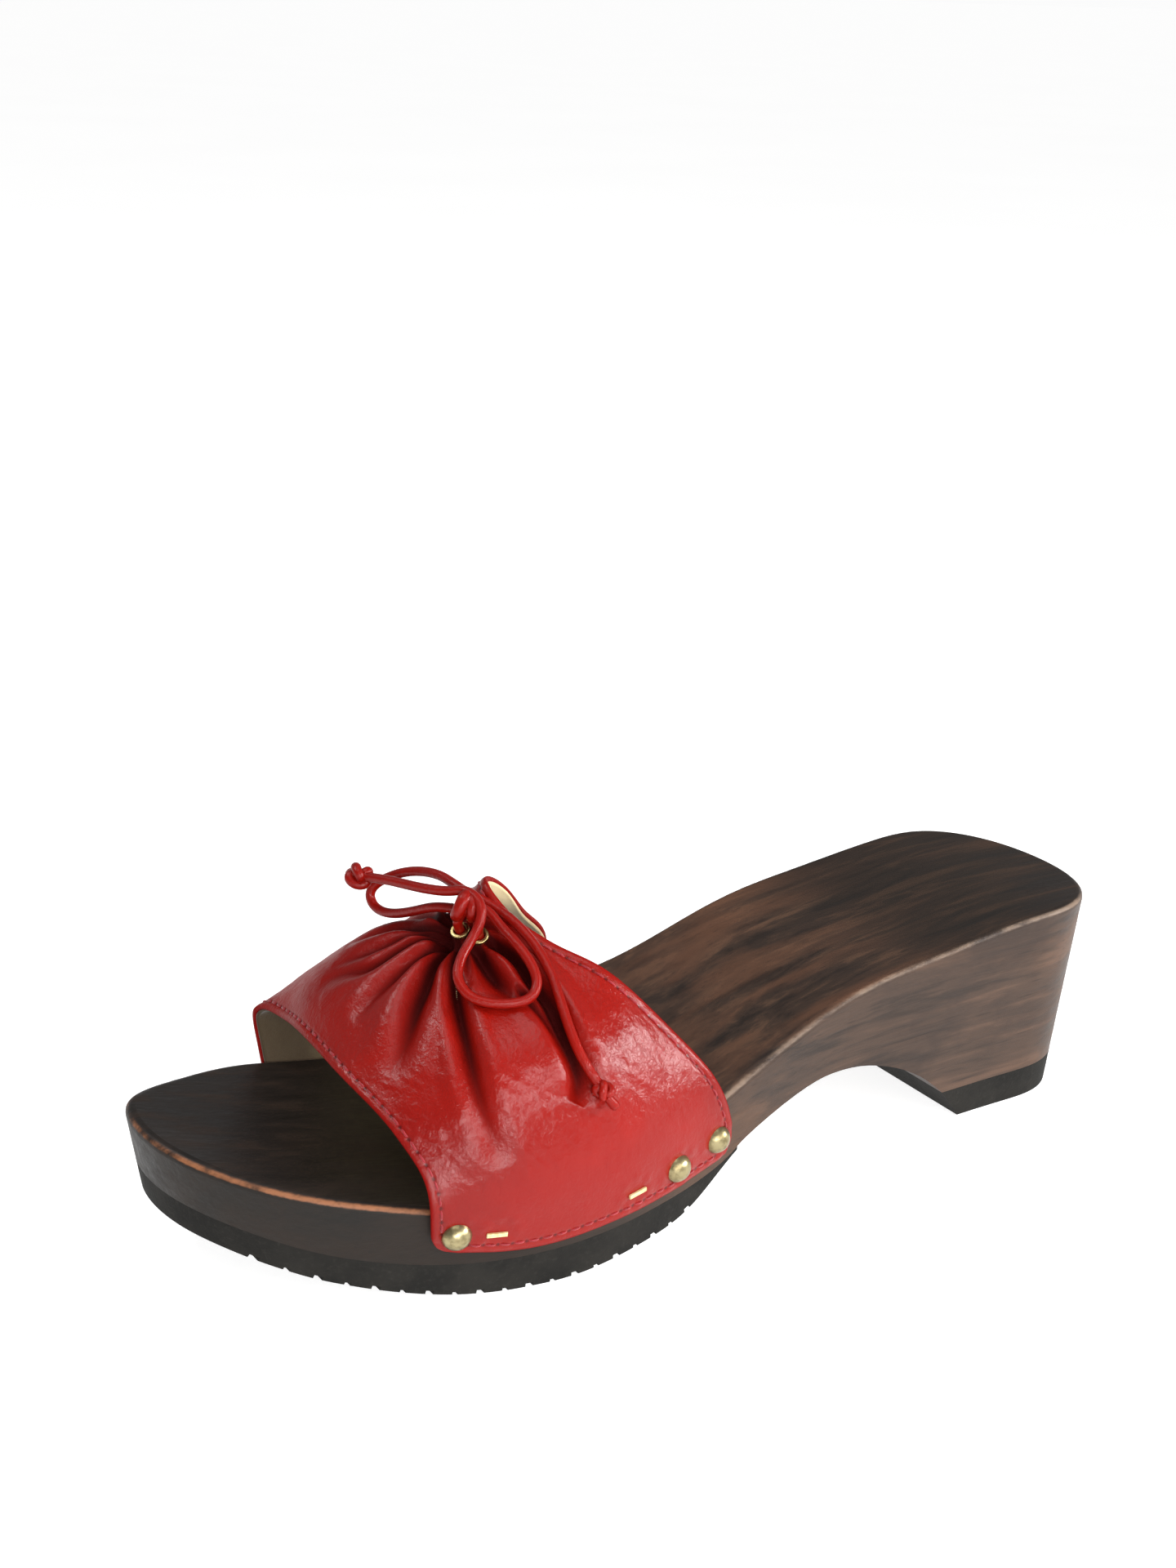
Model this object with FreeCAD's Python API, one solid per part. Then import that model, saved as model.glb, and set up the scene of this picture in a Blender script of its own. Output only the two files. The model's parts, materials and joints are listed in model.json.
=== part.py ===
import FreeCAD, Part
import math
import os

# Wooden clog for the left foot: a carved wooden sole with a block heel, rubber
# under the forefoot and the heel, and a gathered leather vamp nailed to the
# sides of the sole and drawn together at the top by a leather lace.
# Frame: toe towards -Y, heel towards +Y, the outer (lateral) side of the foot
# on +X, +Z up, the floor at z = 0. All sizes are in millimetres.

os.makedirs("parts", exist_ok=True)
V = FreeCAD.Vector

# ---------------------------------------------------------------- driving sizes
SHIFT_X = 0.13          # moves the working frame so that the box centre is at 0, 0
SHIFT_Y = 0.68
LOFT_TOP = 60.0          # height of the upper construction outline of the sole
EDGE_ROUND = 1.7         # rounding of the footbed's rim
HEEL_LIFT_TOP = 8.3      # upper face of the heel's rubber lift
RUBBER_END_Y = 0.6       # where the forefoot rubber runs out under the arch
GROOVE_WIDTH = 1.7       # tread grooves under the forefoot
GROOVE_DEPTH = 0.9
GROOVE_PITCH = 5.4
LEATHER = 1.2            # thickness of the red leather
LINING = 0.8             # thickness of the lining
GLUE_GAP = 0.05          # between leather and lining
WALL_GAP = 0.10          # between lining and wood
VAMP_CORNER_R = 4.0      # rounded lower corners of the vamp
NAIL_HEAD_R = 3.3
NAIL_HEAD_H = 2.4
NAIL_SHANK_R = 0.8
NAIL_SHANK_L = 13.0
STAPLE_CROWN = 4.6
STAPLE_WIRE = 1.0
STAPLE_LEG = 8.0
LACE_D = 2.2
EYELET_R_OUT = 2.15
EYELET_R_IN = 1.28
STITCH_D = 0.6
STITCH_PITCH = 3.2
STITCH_LEN = 2.3
HEM_INSET = 2.1          # from the leather's edge to the hem stitching

# Footbed rim, seen from above: distance along the foot and half-outlines.
RIM_Y = [-118, -105, -90, -70, -50, -30, -10, 10, 30, 50, 70, 90, 105, 117]
RIM_LAT = [14.5, 26.4, 34.1, 40.1, 43.6, 43.0, 39.0, 35.2, 32.3, 31.1, 31.0, 31.2, 30.0, 22.1]
RIM_MED = [-27.5, -35.4, -40.9, -42.6, -42.5, -41.3, -36.2, -30.2, -29.5, -30.9, -31.1, -30.8, -29.9, -22.4]
TOE_TIP = (-17.3, -124.9)
HEEL_BACK = (-0.1, 124.6)
# Inward lean of the side walls, per millimetre of height, round the outline.
DRAFT = [0.13, 0.13, 0.13, 0.13, 0.12, 0.10, 0.08, 0.08, 0.08, 0.07, 0.06, 0.06, 0.06, 0.06, 0.08, 0.146]
# Footbed height along the foot.
BED = [(-125, 36.5), (-105, 30.4), (-85, 25.7), (-60, 21.3), (-35, 24.3), (-10, 30.4),
       (15, 38.8), (40, 45.6), (65, 48.9), (90, 51.9), (125, 51.7)]
BED_DISH = 1.1           # how far the footbed's middle lies under its rim
# Underside of the forefoot rubber, then the face between rubber and wood.
TREAD = [(-134, 20.5), (-127, 17.2), (-121.8, 15.2), (-117.5, 13.8), (-112.7, 12.0), (-107.4, 10.0),
         (-101.7, 7.9), (-95.7, 6.1), (-89.4, 4.3), (-82.9, 2.7), (-76.1, 1.3), (-69, 0.4),
         (-61.0, 0.0), (-53, 0.0), (-45, 0.35), (-37.8, 1.2), (-28.3, 2.4), (-18, 4.0),
         (-12.7, 6.0), (-7.6, 9.2), (-2.6, 12.8), (RUBBER_END_Y, 14.9)]
BOND = [(-136, 25.8), (-128, 23.6), (-121.6, 21.7), (-116.6, 20.1), (-106.8, 16.6), (-98, 13.8),
        (-88.5, 11.5), (-78.4, 9.7), (-69.8, 8.8), (-50, 8.9), (-30.6, 10.2), (-23.4, 10.7),
        (-15.9, 11.2), (-8.5, 12.3), (-3.0, 13.9), (RUBBER_END_Y, 15.9)]
# Arch and heel breast of the wood, then the breast of the rubber lift.
ARCH = [(RUBBER_END_Y, 15.9), (5.0, 18.0), (8.5, 19.3), (12.8, 20.8), (18.1, 22.4), (23.4, 23.7),
        (28.8, 24.5), (34.3, 24.5), (39.9, 23.9), (45.0, 22.7), (51.8, 20.3), (58.3, 17.0),
        (64.2, 13.0), (69.6, HEEL_LIFT_TOP)]
LIFT_BREAST = [(69.6, HEEL_LIFT_TOP), (73.3, 3.9), (76.2, 0.0)]

# Outer face of the leather vamp: five rows from its front edge (towards the
# toe) to its rear edge, each from the lateral lower edge over the top of the
# foot to the medial lower edge. None marks a point that lies on the sole's
# side wall at that height.
VAMP = [
    [(38.2, -80.9, 15.0), (39.0, -81.3, 22), (36.6, -81.3, 30.5), (31, -83.2, 37.0), (24, -85.0, 41.6),
     (10, -86.2, 44.3), (-4, -85.8, 45.3), (-16, -84.5, 44.6), (-28, -82.3, 41.8), (-40, -81.9, 39.6),
     (-44.7, -82.1, 36.0), (-44.9, -81.3, 27), (-43.1, -79.5, 15)],
    [(43.1, -61.7, 11.9), (44.3, -62, 20), (44.4, -63.5, 29), (41, -66, 38.5), (34, -70, 46.5),
     (18, -74, 53), (0, -75.5, 56), (-14, -74, 56.5), (-27, -72, 53.5), (-38.5, -70, 46.8),
     (-44.8, -66, 37.5), (-45.6, -62, 25), (-44.6, -60, 12.5)],
    [(45.3, -42, 13), (45.6, -42.5, 21), (46.0, -44, 30), (43.2, -48, 41), (36.5, -54, 51),
     (20, -60, 59.5), (0, -64, 64), (-13, -61, 63.5), (-26, -57, 59.5), (-37, -53, 51),
     (-44.2, -48, 39), (-45.2, -43, 26), (-43.7, -41, 12.5)],
    [(42.8, -22.5, 14.8), (43.1, -22.5, 23), (43.4, -25, 32.5), (40.0, -30, 44), (32.5, -37, 55.5),
     (18, -45, 64.5), (0, -53, 70), (-12, -48, 67.5), (-24, -40, 60.5), (-34.5, -31, 50),
     (-41.4, -26, 37), (-42.8, -22.5, 26), (-41.3, -21.5, 14)],
    [(39.2, -5.0, 17), (39.3, -4.6, 24), (38.8, -9.8, 38.0), (34.0, -16.9, 48.0), (26.0, -28.9, 62.0),
     (13.5, -38.6, 67.9), (-0.5, -45.5, 77.4), (-10.0, -33.9, 69.6), (-20.0, -22.6, 58.6),
     (-29.0, -11.5, 47.0), (-35.8, -7.5, 34), (-38.2, -4.8, 25), (-37.7, -4.3, 17)],
]
WALL_COLUMNS = (0, 1, 11, 12)

# Fixings: height and distance along the foot, on each side.
NAILS = {
    "nail_lateral_front": (1, -76.0, 18.0),
    "nail_lateral_rear_lower": (1, -21.6, 20.2),
    "nail_lateral_rear_upper": (1, -9.0, 22.6),
    "nail_medial_front": (-1, -75.0, 18.2),
    "nail_medial_rear_lower": (-1, -20.8, 20.0),
    "nail_medial_rear_upper": (-1, -9.0, 22.4),
}
STAPLES = {
    "staple_lateral_front": (1, -67.6, 17.3),
    "staple_lateral_rear": (1, -34.0, 18.9),
    "staple_medial_front": (-1, -66.2, 17.2),
    "staple_medial_rear": (-1, -33.2, 17.9),
}

# Lace: one strand from each eyelet, through the knot, round its loop and out
# to its tail. Corner points of the route; the lace runs in tangent arcs.
LACE_LATERAL = [
    (7.3, -51.5, 68.6), (7.9, -52.1, 70.0), (7.9, -52.1, 71.4), (7.0, -51.8, 72.6), (5.4, -51.4, 73.2),
    (3.4, -51.3, 72.9), (0.9, -51.8, 72.3), (-2.6, -53.4, 72.1), (-7.4, -55.0, 70.8), (-13.8, -56.4, 67.6),
    (-20.0, -57.5, 65.0), (-24.6, -58.4, 64.1), (-27.5, -59.0, 64.9), (-28.9, -59.0, 67.0), (-28.3, -57.9, 69.2),
    (-26.2, -56.1, 71.2), (-22.4, -54.0, 73.5), (-17.3, -52.2, 75.3), (-11.2, -50.9, 76.3), (-5.8, -50.5, 76.1),
    (-1.4, -49.9, 75.5), (1.8, -48.0, 74.6), (4.8, -45.8, 73.0), (10.0, -44.4, 71.7), (16.3, -42.9, 68.3),
    (23.2, -42.8, 63.9), (29.4, -44.4, 60.0), (35.1, -45.4, 55.4), (39.6, -45.1, 50.8), (42.6, -43.4, 46.9)]
LACE_MEDIAL = [
    (3.4, -53.9, 68.9), (4.0, -55.0, 70.7), (4.5, -55.1, 72.6), (4.8, -53.6, 74.3), (5.4, -51.2, 74.9),
    (7.1, -49.0, 73.9), (10.8, -48.1, 71.3), (17.6, -47.6, 69.3), (22.2, -47.0, 66.3), (25.3, -47.6, 63.5),
    (26.9, -50.4, 61.4), (25.8, -54.6, 60.8), (23.2, -59.0, 61.0), (20.0, -61.9, 62.1), (16.2, -62.4, 65.0),
    (12.9, -59.2, 67.7), (10.9, -55.5, 70.0), (10.4, -53.1, 73.0), (9.0, -51.8, 75.8), (6.0, -51.7, 77.6),
    (2.4, -52.6, 77.9), (-1.5, -54.4, 76.4), (-7.5, -56.4, 75.3), (-13.7, -58.0, 74.5), (-19.9, -59.7, 73.8),
    (-24.8, -61.4, 72.9)]
# The end knots: the route each one ends, its length and its radius.
END_KNOTS = {
    "lace_end_knot_lateral": (LACE_LATERAL, 7.2, 2.1),
    "lace_end_knot_medial": (LACE_MEDIAL, 7.6, 2.3),
}


# ---------------------------------------------------------------- helpers
def out(name, shape):
    if not shape.isValid():
        print("NOT VALID", name)
    shape = shape.copy()
    shape.translate(V(SHIFT_X, SHIFT_Y, 0))
    shape.exportStep("parts/%s.step" % name)
    box = shape.BoundBox
    print("%-26s vol %9.1f  solids %3d  x %.1f..%.1f  y %.1f..%.1f  z %.2f..%.1f" % (
        name, shape.Volume, len(shape.Solids), box.XMin, box.XMax, box.YMin, box.YMax, box.ZMin, box.ZMax))
    return shape


def spline_edge(points):
    curve = Part.BSplineCurve()
    curve.interpolate([V(*p) for p in points])
    return curve.toShape()


def natural_spline(points):
    """Height along the foot, by a natural cubic spline."""
    xs = [p[0] for p in points]
    ys = [p[1] for p in points]
    n = len(xs)
    h = [xs[i + 1] - xs[i] for i in range(n - 1)]
    a = [0.0] * n
    b = [1.0] * n
    c = [0.0] * n
    d = [0.0] * n
    for i in range(1, n - 1):
        a[i] = h[i - 1]
        b[i] = 2 * (h[i - 1] + h[i])
        c[i] = h[i]
        d[i] = 6 * ((ys[i + 1] - ys[i]) / h[i] - (ys[i] - ys[i - 1]) / h[i - 1])
    for i in range(1, n):
        w = a[i] / b[i - 1]
        b[i] -= w * c[i - 1]
        d[i] -= w * d[i - 1]
    m = [0.0] * n
    m[n - 1] = d[n - 1] / b[n - 1]
    for i in range(n - 2, -1, -1):
        m[i] = (d[i] - c[i] * m[i + 1]) / b[i]

    def value(x):
        x = min(max(x, xs[0]), xs[-1])
        k = 0
        while k < n - 2 and x > xs[k + 1]:
            k += 1
        t = x - xs[k]
        s = xs[k + 1] - x
        return (m[k] * s ** 3 + m[k + 1] * t ** 3) / (6 * h[k]) + (ys[k] / h[k] - m[k] * h[k] / 6) * s + (
            ys[k + 1] / h[k] - m[k + 1] * h[k] / 6) * t

    return value


bed_height = natural_spline(BED)

# ---------------------------------------------------------------- sole outline
rim = [TOE_TIP] + list(zip(RIM_LAT, RIM_Y)) + [HEEL_BACK] + list(zip(RIM_MED[::-1], RIM_Y[::-1]))
lean = DRAFT + DRAFT[1:15][::-1]
count = len(rim)
steps = [0.0]
for i in range(count):
    p, q = rim[i], rim[(i + 1) % count]
    steps.append(steps[-1] + math.hypot(q[0] - p[0], q[1] - p[1]))
rim_curve = Part.BSplineCurve()
rim_curve.interpolate(Points=[V(x, y, 0) for x, y in rim], PeriodicFlag=True, Parameters=steps)
low, high = [], []
for i in range(count):
    t = rim_curve.tangent(steps[i])[0]
    n = V(t.y, -t.x, 0)
    n.normalize()
    if n.dot(V(rim[i][0], rim[i][1] * 0.6, 0)) < 0:
        n = n * -1
    z = bed_height(rim[i][1])
    p = V(rim[i][0], rim[i][1], 0)
    low.append(p - n * (lean[i] * z))
    high.append(p - n * (lean[i] * z) + n * (lean[i] * LOFT_TOP) + V(0, 0, LOFT_TOP))
low_curve = Part.BSplineCurve()
low_curve.interpolate(Points=low, PeriodicFlag=True, Parameters=steps)
high_curve = Part.BSplineCurve()
high_curve.interpolate(Points=high, PeriodicFlag=True, Parameters=steps)


def wall_point(side, y, z, off=0.0):
    """Point on the sole's side wall at that y and z, moved off outwards, and the wall's normal."""
    best = None
    span = (steps[0], steps[15]) if side > 0 else (steps[15], steps[-1])
    a, b = span
    f = z / LOFT_TOP

    def at(u):
        return low_curve.value(u) * (1 - f) + high_curve.value(u) * f

    lo, hi = a, b
    for _ in range(60):
        mid = (lo + hi) / 2
        y_mid = at(mid).y
        if (y_mid < y) == (side > 0):
            lo = mid
        else:
            hi = mid
    u = (lo + hi) / 2
    p = at(u)
    t = at(min(u + 0.05, b)) - at(max(u - 0.05, a))
    rise = V(*(high_curve.value(u) - low_curve.value(u)))
    n = t.cross(rise)
    n.normalize()
    if n.x * side < 0:
        n = n * -1
    return p + n * off, n


def stretches(curve, count=6):
    """The closed curve cut into even stretches, as edges."""
    out = []
    for k in range(count):
        c = curve.copy()
        c.segment(steps[-1] * k / count, steps[-1] * (k + 1) / count)
        out.append(c.toShape())
    return out


low_edges = stretches(low_curve)
high_edges = stretches(high_curve)
wall_faces = [Part.makeRuledSurface(p, q) for p, q in zip(low_edges, high_edges)]
bottom_cap = Part.Face(Part.Wire(low_edges))
top_cap = Part.Face(Part.Wire(high_edges))
shell = Part.makeShell(wall_faces + [bottom_cap, top_cap])
shell.sewShape()
block = Part.Solid(shell)
if block.Volume < 0:
    block.reverse()
print("block", block.isValid(), round(block.Volume))

# Region above the footbed, slightly dished across the foot.
rows = []
for i in range(15):
    x = -63 + 9.0 * i
    line = []
    for j in range(31):
        y = -135 + 9.0 * j
        half = 44.0 if y < -30 else 44.0 - 12.5 * min(1.0, (y + 30) / 60.0)
        dish = BED_DISH * max(0.0, 1 - (x / half) ** 2)
        line.append(V(x, y, bed_height(y) - dish))
    rows.append(line)
bed_surface = Part.BSplineSurface()
bed_surface.interpolate(rows)
above_bed = bed_surface.toShape().extrude(V(0, 0, 70))


def extruded(edges):
    wire = Part.Wire(Part.__sortEdges__(edges))
    face = Part.Face(wire)
    return face.extrude(V(160, 0, 0))


def yz(points):
    return [(-80.0, y, z) for y, z in points]


def line(p, q):
    return Part.LineSegment(V(-80, *p), V(-80, *q)).toShape()


# Region below the wood: rubber, arch space and heel lift.
below_wood = extruded([
    spline_edge(yz(BOND)), spline_edge(yz(ARCH)),
    line(ARCH[-1], (140, HEEL_LIFT_TOP)), line((140, HEEL_LIFT_TOP), (140, -30)),
    line((140, -30), (BOND[0][0], -30)), line((BOND[0][0], -30), BOND[0])])
wood = block.cut(above_bed).cut(below_wood)
wood = wood.Solids[0] if len(wood.Solids) == 1 else max(wood.Solids, key=lambda s: s.Volume)
print("wood", wood.isValid(), round(wood.Volume), len(wood.Faces))

rubber_region = extruded([
    spline_edge(yz(TREAD)), spline_edge(yz(BOND)),
    line(TREAD[-1], BOND[-1]), line(TREAD[0], BOND[0])])
rubber = block.common(rubber_region)
rubber = max(rubber.Solids, key=lambda s: s.Volume)
print("rubber", rubber.isValid(), round(rubber.Volume), len(rubber.Faces))

lift_region = extruded([
    spline_edge(yz(LIFT_BREAST)), line(LIFT_BREAST[-1], (140, 0)),
    line((140, 0), (140, HEEL_LIFT_TOP)), line((140, HEEL_LIFT_TOP), LIFT_BREAST[0])])
lift = block.common(lift_region)
lift = max(lift.Solids, key=lambda s: s.Volume)
print("lift", lift.isValid(), round(lift.Volume), len(lift.Faces))

# Rounded rim of the footbed and softened arch edges.
rim_edges = []
arch_edges = []
for e in wood.Edges:
    mids = [e.valueAt(e.FirstParameter + (e.LastParameter - e.FirstParameter) * k / 6.0) for k in range(7)]
    if all(abs(m.z - bed_height(m.y)) < 1.2 for m in mids) and e.Length > 2:
        rim_edges.append(e)
    elif all(RUBBER_END_Y - 0.1 < m.y < 69.7 for m in mids) and e.Length > 20 and abs(mids[0].y - mids[-1].y) > 10:
        arch_edges.append(e)
print("rim edges", len(rim_edges), [round(e.Length, 1) for e in rim_edges], "arch edges", len(arch_edges))
rounded = wood.makeFillet(EDGE_ROUND, rim_edges)
print("rounded", rounded.isValid(), round(rounded.Volume), len(rounded.Faces), "before", round(wood.Volume))
wood = rounded.Solids[0]

# Tread: cross-wise grooves in the forefoot rubber, square to its underside.
tread_height = natural_spline(TREAD)
grooves = []
y = -112.0
k = 0
while y < -14:
    z = tread_height(y)
    slope = math.atan2(tread_height(y + 1) - tread_height(y - 1), 2.0)
    wide = GROOVE_WIDTH if k % 2 == 0 else GROOVE_WIDTH * 0.7
    deep = GROOVE_DEPTH if k % 2 == 0 else GROOVE_DEPTH * 0.7
    box = Part.makeBox(160, wide, deep + 6, V(-80, -wide / 2, -6))
    box.rotate(V(0, 0, 0), V(1, 0, 0), math.degrees(slope))
    box.translate(V(0, y, z))
    grooves.append(box)
    y += GROOVE_PITCH
    k += 1
rubber = rubber.cut(Part.makeCompound(grooves))
rubber = max(rubber.Solids, key=lambda s: s.Volume)
print("treaded rubber", rubber.isValid(), round(rubber.Volume), len(rubber.Faces))
# The heel's tread grooves stop short of its edge.
groove_lift = []
for y, half in ((88.0, 17.0), (94.5, 17.0), (101.0, 16.0), (107.5, 13.0)):
    groove_lift.append(Part.makeBox(2 * half, 2.0, 3.2, V(-half, y - 1.0, -2.0)))
lift = lift.cut(Part.makeCompound(groove_lift))
lift = max(lift.Solids, key=lambda s: s.Volume)

# ---------------------------------------------------------------- vamp
stack = LEATHER + GLUE_GAP + LINING + WALL_GAP
grid = []
for row in VAMP:
    points = []
    for j, p in enumerate(row):
        if j in WALL_COLUMNS:
            q, _ = wall_point(1 if j < 6 else -1, p[1], p[2], stack)
            points.append(q)
        else:
            points.append(V(*p))
    grid.append(points)
draft_surface = Part.BSplineSurface()
draft_surface.interpolate(grid)


def spline_over(net):
    """A cubic spline surface that follows a dense net of points closely, without overshoot at its borders."""
    def knots(count):
        inner = count - 4
        return [1.0 * i / (inner + 1) for i in range(inner + 2)], [4] + [1] * inner + [4]

    ku, mu = knots(len(net))
    kv, mv = knots(len(net[0]))
    out = Part.BSplineSurface()
    out.buildFromPolesMultsKnots(net, mu, mv, ku, kv, False, False, 3, 3)
    return out


def pressed_to_wall(surface, nu=25, nv=61, fade=5):
    """The surface again through a denser net, with its lower bands lying at one distance from the sole's side."""
    a, b, c, d = surface.bounds()
    net = []
    for i in range(nu):
        u = a + (b - a) * i / (nu - 1.0)
        line_ = [surface.value(u, c + (d - c) * j / (nv - 1.0)) for j in range(nv)]
        for side in (1, -1):
            order = range(nv // 2) if side > 0 else range(nv - 1, nv // 2, -1)
            shift, left = V(0, 0, 0), fade
            for j in order:
                q = line_[j]
                if left == fade and q.z < bed_height(q.y) - 0.3:
                    w, n = wall_point(side, q.y, q.z)
                    shift = n * (stack + 0.08 - (q - w).dot(n))
                    line_[j] = q + shift
                elif left > 0:
                    left -= 1
                    t = (left + 0.5) / fade
                    line_[j] = q + shift * (t * t * (3 - 2 * t))
        net.append(line_)
    return spline_over(net)


outer_surface = pressed_to_wall(draft_surface)
u0, u1, v0, v1 = outer_surface.bounds()


def leather_normal(u, v):
    n = outer_surface.normal(u, v)
    p = outer_surface.value(u, v)
    if n.dot(p - V(0, p.y + 12, 15)) < 0:
        n = n * -1
    return n


def offset_surface(depth):
    nu, nv = 25, 61
    net = []
    for i in range(nu):
        u = u0 + (u1 - u0) * i / (nu - 1.0)
        line_ = []
        for j in range(nv):
            v = v0 + (v1 - v0) * j / (nv - 1.0)
            line_.append(outer_surface.value(u, v) - leather_normal(u, v) * depth)
        net.append(line_)
    return spline_over(net)


def sheet_solid(top, under):
    top_face = top.toShape()
    under_face = under.toShape()

    def border(s):
        a, b, c, d = s.bounds()
        return [s.uIso(a), s.uIso(b), s.vIso(c), s.vIso(d)]

    sides = []
    for p, q in zip(border(top), border(under)):
        side = Part.BSplineSurface()
        side.buildFromPolesMultsKnots([p.getPoles(), q.getPoles()], [2, 2], p.getMultiplicities(), [0.0, 1.0],
                                      p.getKnots(), False, False, 1, 3)
        sides.append(side.toShape())
    sh = Part.makeShell([top_face, under_face] + sides)
    sh.sewShape()
    solid = Part.Solid(sh)
    if solid.Volume < 0:
        solid.reverse()
    return solid


leather_top = offset_surface(0.0)
leather_under = offset_surface(LEATHER)
lining_top = offset_surface(LEATHER + GLUE_GAP)
lining_under = offset_surface(LEATHER + GLUE_GAP + LINING)
vamp_outer = sheet_solid(leather_top, leather_under)
vamp_lining = sheet_solid(lining_top, lining_under)
print("vamp", vamp_outer.isValid(), round(vamp_outer.Volume), "lining", vamp_lining.isValid(), round(vamp_lining.Volume))

# Rounded lower corners.
corner_tools = []
for u, v, du, dv in ((u0, v0, 1, 1), (u1, v0, -1, 1), (u0, v1, 1, -1), (u1, v1, -1, -1)):
    p = outer_surface.value(u, v)
    n = leather_normal(u, v)
    along = outer_surface.value(u + du * (u1 - u0) * 0.02, v) - p
    along.normalize()
    upward = outer_surface.value(u, v + dv * (v1 - v0) * 0.01) - p
    upward = upward - along * upward.dot(along)
    upward.normalize()
    r = VAMP_CORNER_R
    inset = 0.97 * r

    def corner_at(i, j):
        return p + along * i + upward * j

    def arc_at(degrees):
        t = math.radians(degrees)
        return corner_at(inset + r * math.cos(t), inset + r * math.sin(t))

    a, mid, b = arc_at(262), arc_at(225), arc_at(188)
    reach_b = inset + r * math.cos(math.radians(188)) - 3
    reach_a = inset + r * math.sin(math.radians(262)) - 3
    far_a = a - upward * 3
    far_b = b - along * 3
    far = corner_at(reach_b, reach_a)
    edges = [Part.Arc(a, mid, b).toShape(), Part.LineSegment(b, far_b).toShape(), Part.LineSegment(far_b, far).toShape(),
             Part.LineSegment(far, far_a).toShape(), Part.LineSegment(far_a, a).toShape()]
    face = Part.Face(Part.Wire(edges))
    face.translate(n * -6)
    corner_tools.append(face.extrude(n * 9))
corners = Part.makeCompound(corner_tools)
vamp_outer = max(vamp_outer.cut(corners).Solids, key=lambda s: s.Volume)
vamp_lining = max(vamp_lining.cut(corners).Solids, key=lambda s: s.Volume)
print("lining clear of wood by %.3f, of rubber by %.3f" % (vamp_lining.distToShape(wood)[0], vamp_lining.distToShape(rubber)[0]))


# ---------------------------------------------------------------- fixings
def frame_at(point, normal, along):
    z = V(*normal)
    z.normalize()
    x = V(*along) - z * V(*along).dot(z)
    x.normalize()
    y = z.cross(x)
    m = FreeCAD.Matrix(x.x, y.x, z.x, point.x, x.y, y.y, z.y, point.y, x.z, y.z, z.z, point.z, 0, 0, 0, 1)
    return FreeCAD.Placement(m)


def leather_point(side, y, z):
    """Point and normal on the leather's outer face against the sole's side."""
    best = None
    for i in range(81):
        for j in range(31):
            u = u0 + (u1 - u0) * i / 80.0
            f = j / 30.0 * 0.16
            v = v0 + (v1 - v0) * (f if side > 0 else 1 - f)
            p = outer_surface.value(u, v)
            d = (p.y - y) ** 2 + (p.z - z) ** 2
            if best is None or d < best[0]:
                best = (d, u, v)
    _, u, v = best
    du = (u1 - u0) / 80.0
    dv = (v1 - v0) * 0.16 / 30.0
    for _ in range(25):
        moves = [(u + a * du, v + b * dv) for a in (-1, 0, 1) for b in (-1, 0, 1)]
        moves = [(min(max(a, u0), u1), min(max(b, v0), v1)) for a, b in moves]
        u, v = min(moves, key=lambda m: (outer_surface.value(*m).y - y) ** 2 + (outer_surface.value(*m).z - z) ** 2)
        du *= 0.6
        dv *= 0.6
    return outer_surface.value(u, v), leather_normal(u, v), u, v


def nail(side, y, z):
    p, n, _, _ = leather_point(side, y, z)
    r, h = NAIL_HEAD_R, NAIL_HEAD_H
    ball = (r * r + h * h) / (2 * h)
    base = 0.04
    dome = Part.makeSphere(ball, V(0, 0, base + h - ball), V(0, 0, 1)).common(
        Part.makeBox(4 * r, 4 * r, 4 * r, V(-2 * r, -2 * r, base)))
    shank = Part.makeCylinder(NAIL_SHANK_R, NAIL_SHANK_L - 2.2 + base + 0.5, V(0, 0, -NAIL_SHANK_L + 2.2))
    point = Part.makeCone(0.12, NAIL_SHANK_R, 2.2, V(0, 0, -NAIL_SHANK_L))
    solid = dome.fuse([shank, point]).removeSplitter().Solids[0]
    solid.Placement = frame_at(p, n, V(0, 1, 0))
    hole = Part.makeCylinder(NAIL_SHANK_R, NAIL_SHANK_L + 4, V(0, 0, -NAIL_SHANK_L), V(0, 0, 1))
    hole.Placement = frame_at(p, n, V(0, 1, 0))
    return solid, hole


def staple(side, y, z):
    p, n, _, _ = leather_point(side, y, z)
    q, _, _, _ = leather_point(side, y + 2, z + (0.3 if y > -50 else -0.15))
    w = STAPLE_WIRE
    crown = Part.makeBox(STAPLE_CROWN, w, 0.55, V(-STAPLE_CROWN / 2, -w / 2, 0.06))
    crown = crown.makeFillet(0.2, [e for e in crown.Edges if min(v.Z for v in e.Vertexes) > 0.5])
    legs = []
    for s in (-1, 1):
        x = s * (STAPLE_CROWN / 2 - w * 0.35) - w * 0.35
        legs.append(Part.makeBox(w * 0.7, w * 0.7, STAPLE_LEG + 0.3, V(x, -w * 0.35, -STAPLE_LEG)))
    solid = crown.fuse(legs).removeSplitter()
    hole = Part.makeCompound(legs)
    place = frame_at(p, n, q - p)
    solid.Placement = place
    hole.Placement = place
    return solid.Solids[0], hole


holes = []
fixings = {}
for name, (side, y, z) in NAILS.items():
    solid, hole = nail(side, y, z)
    fixings[name] = solid
    holes.append(hole)
for name, (side, y, z) in STAPLES.items():
    solid, hole = staple(side, y, z)
    fixings[name] = solid
    holes.extend(hole.Solids)
hole_set = Part.makeCompound(holes)
vamp_outer = max(vamp_outer.cut(hole_set).Solids, key=lambda s: s.Volume)
vamp_lining = max(vamp_lining.cut(hole_set).Solids, key=lambda s: s.Volume)
wood = max(wood.cut(hole_set).Solids, key=lambda s: s.Volume)
print("wood with nail bores", wood.isValid(), round(wood.Volume), len(wood.Faces))


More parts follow.
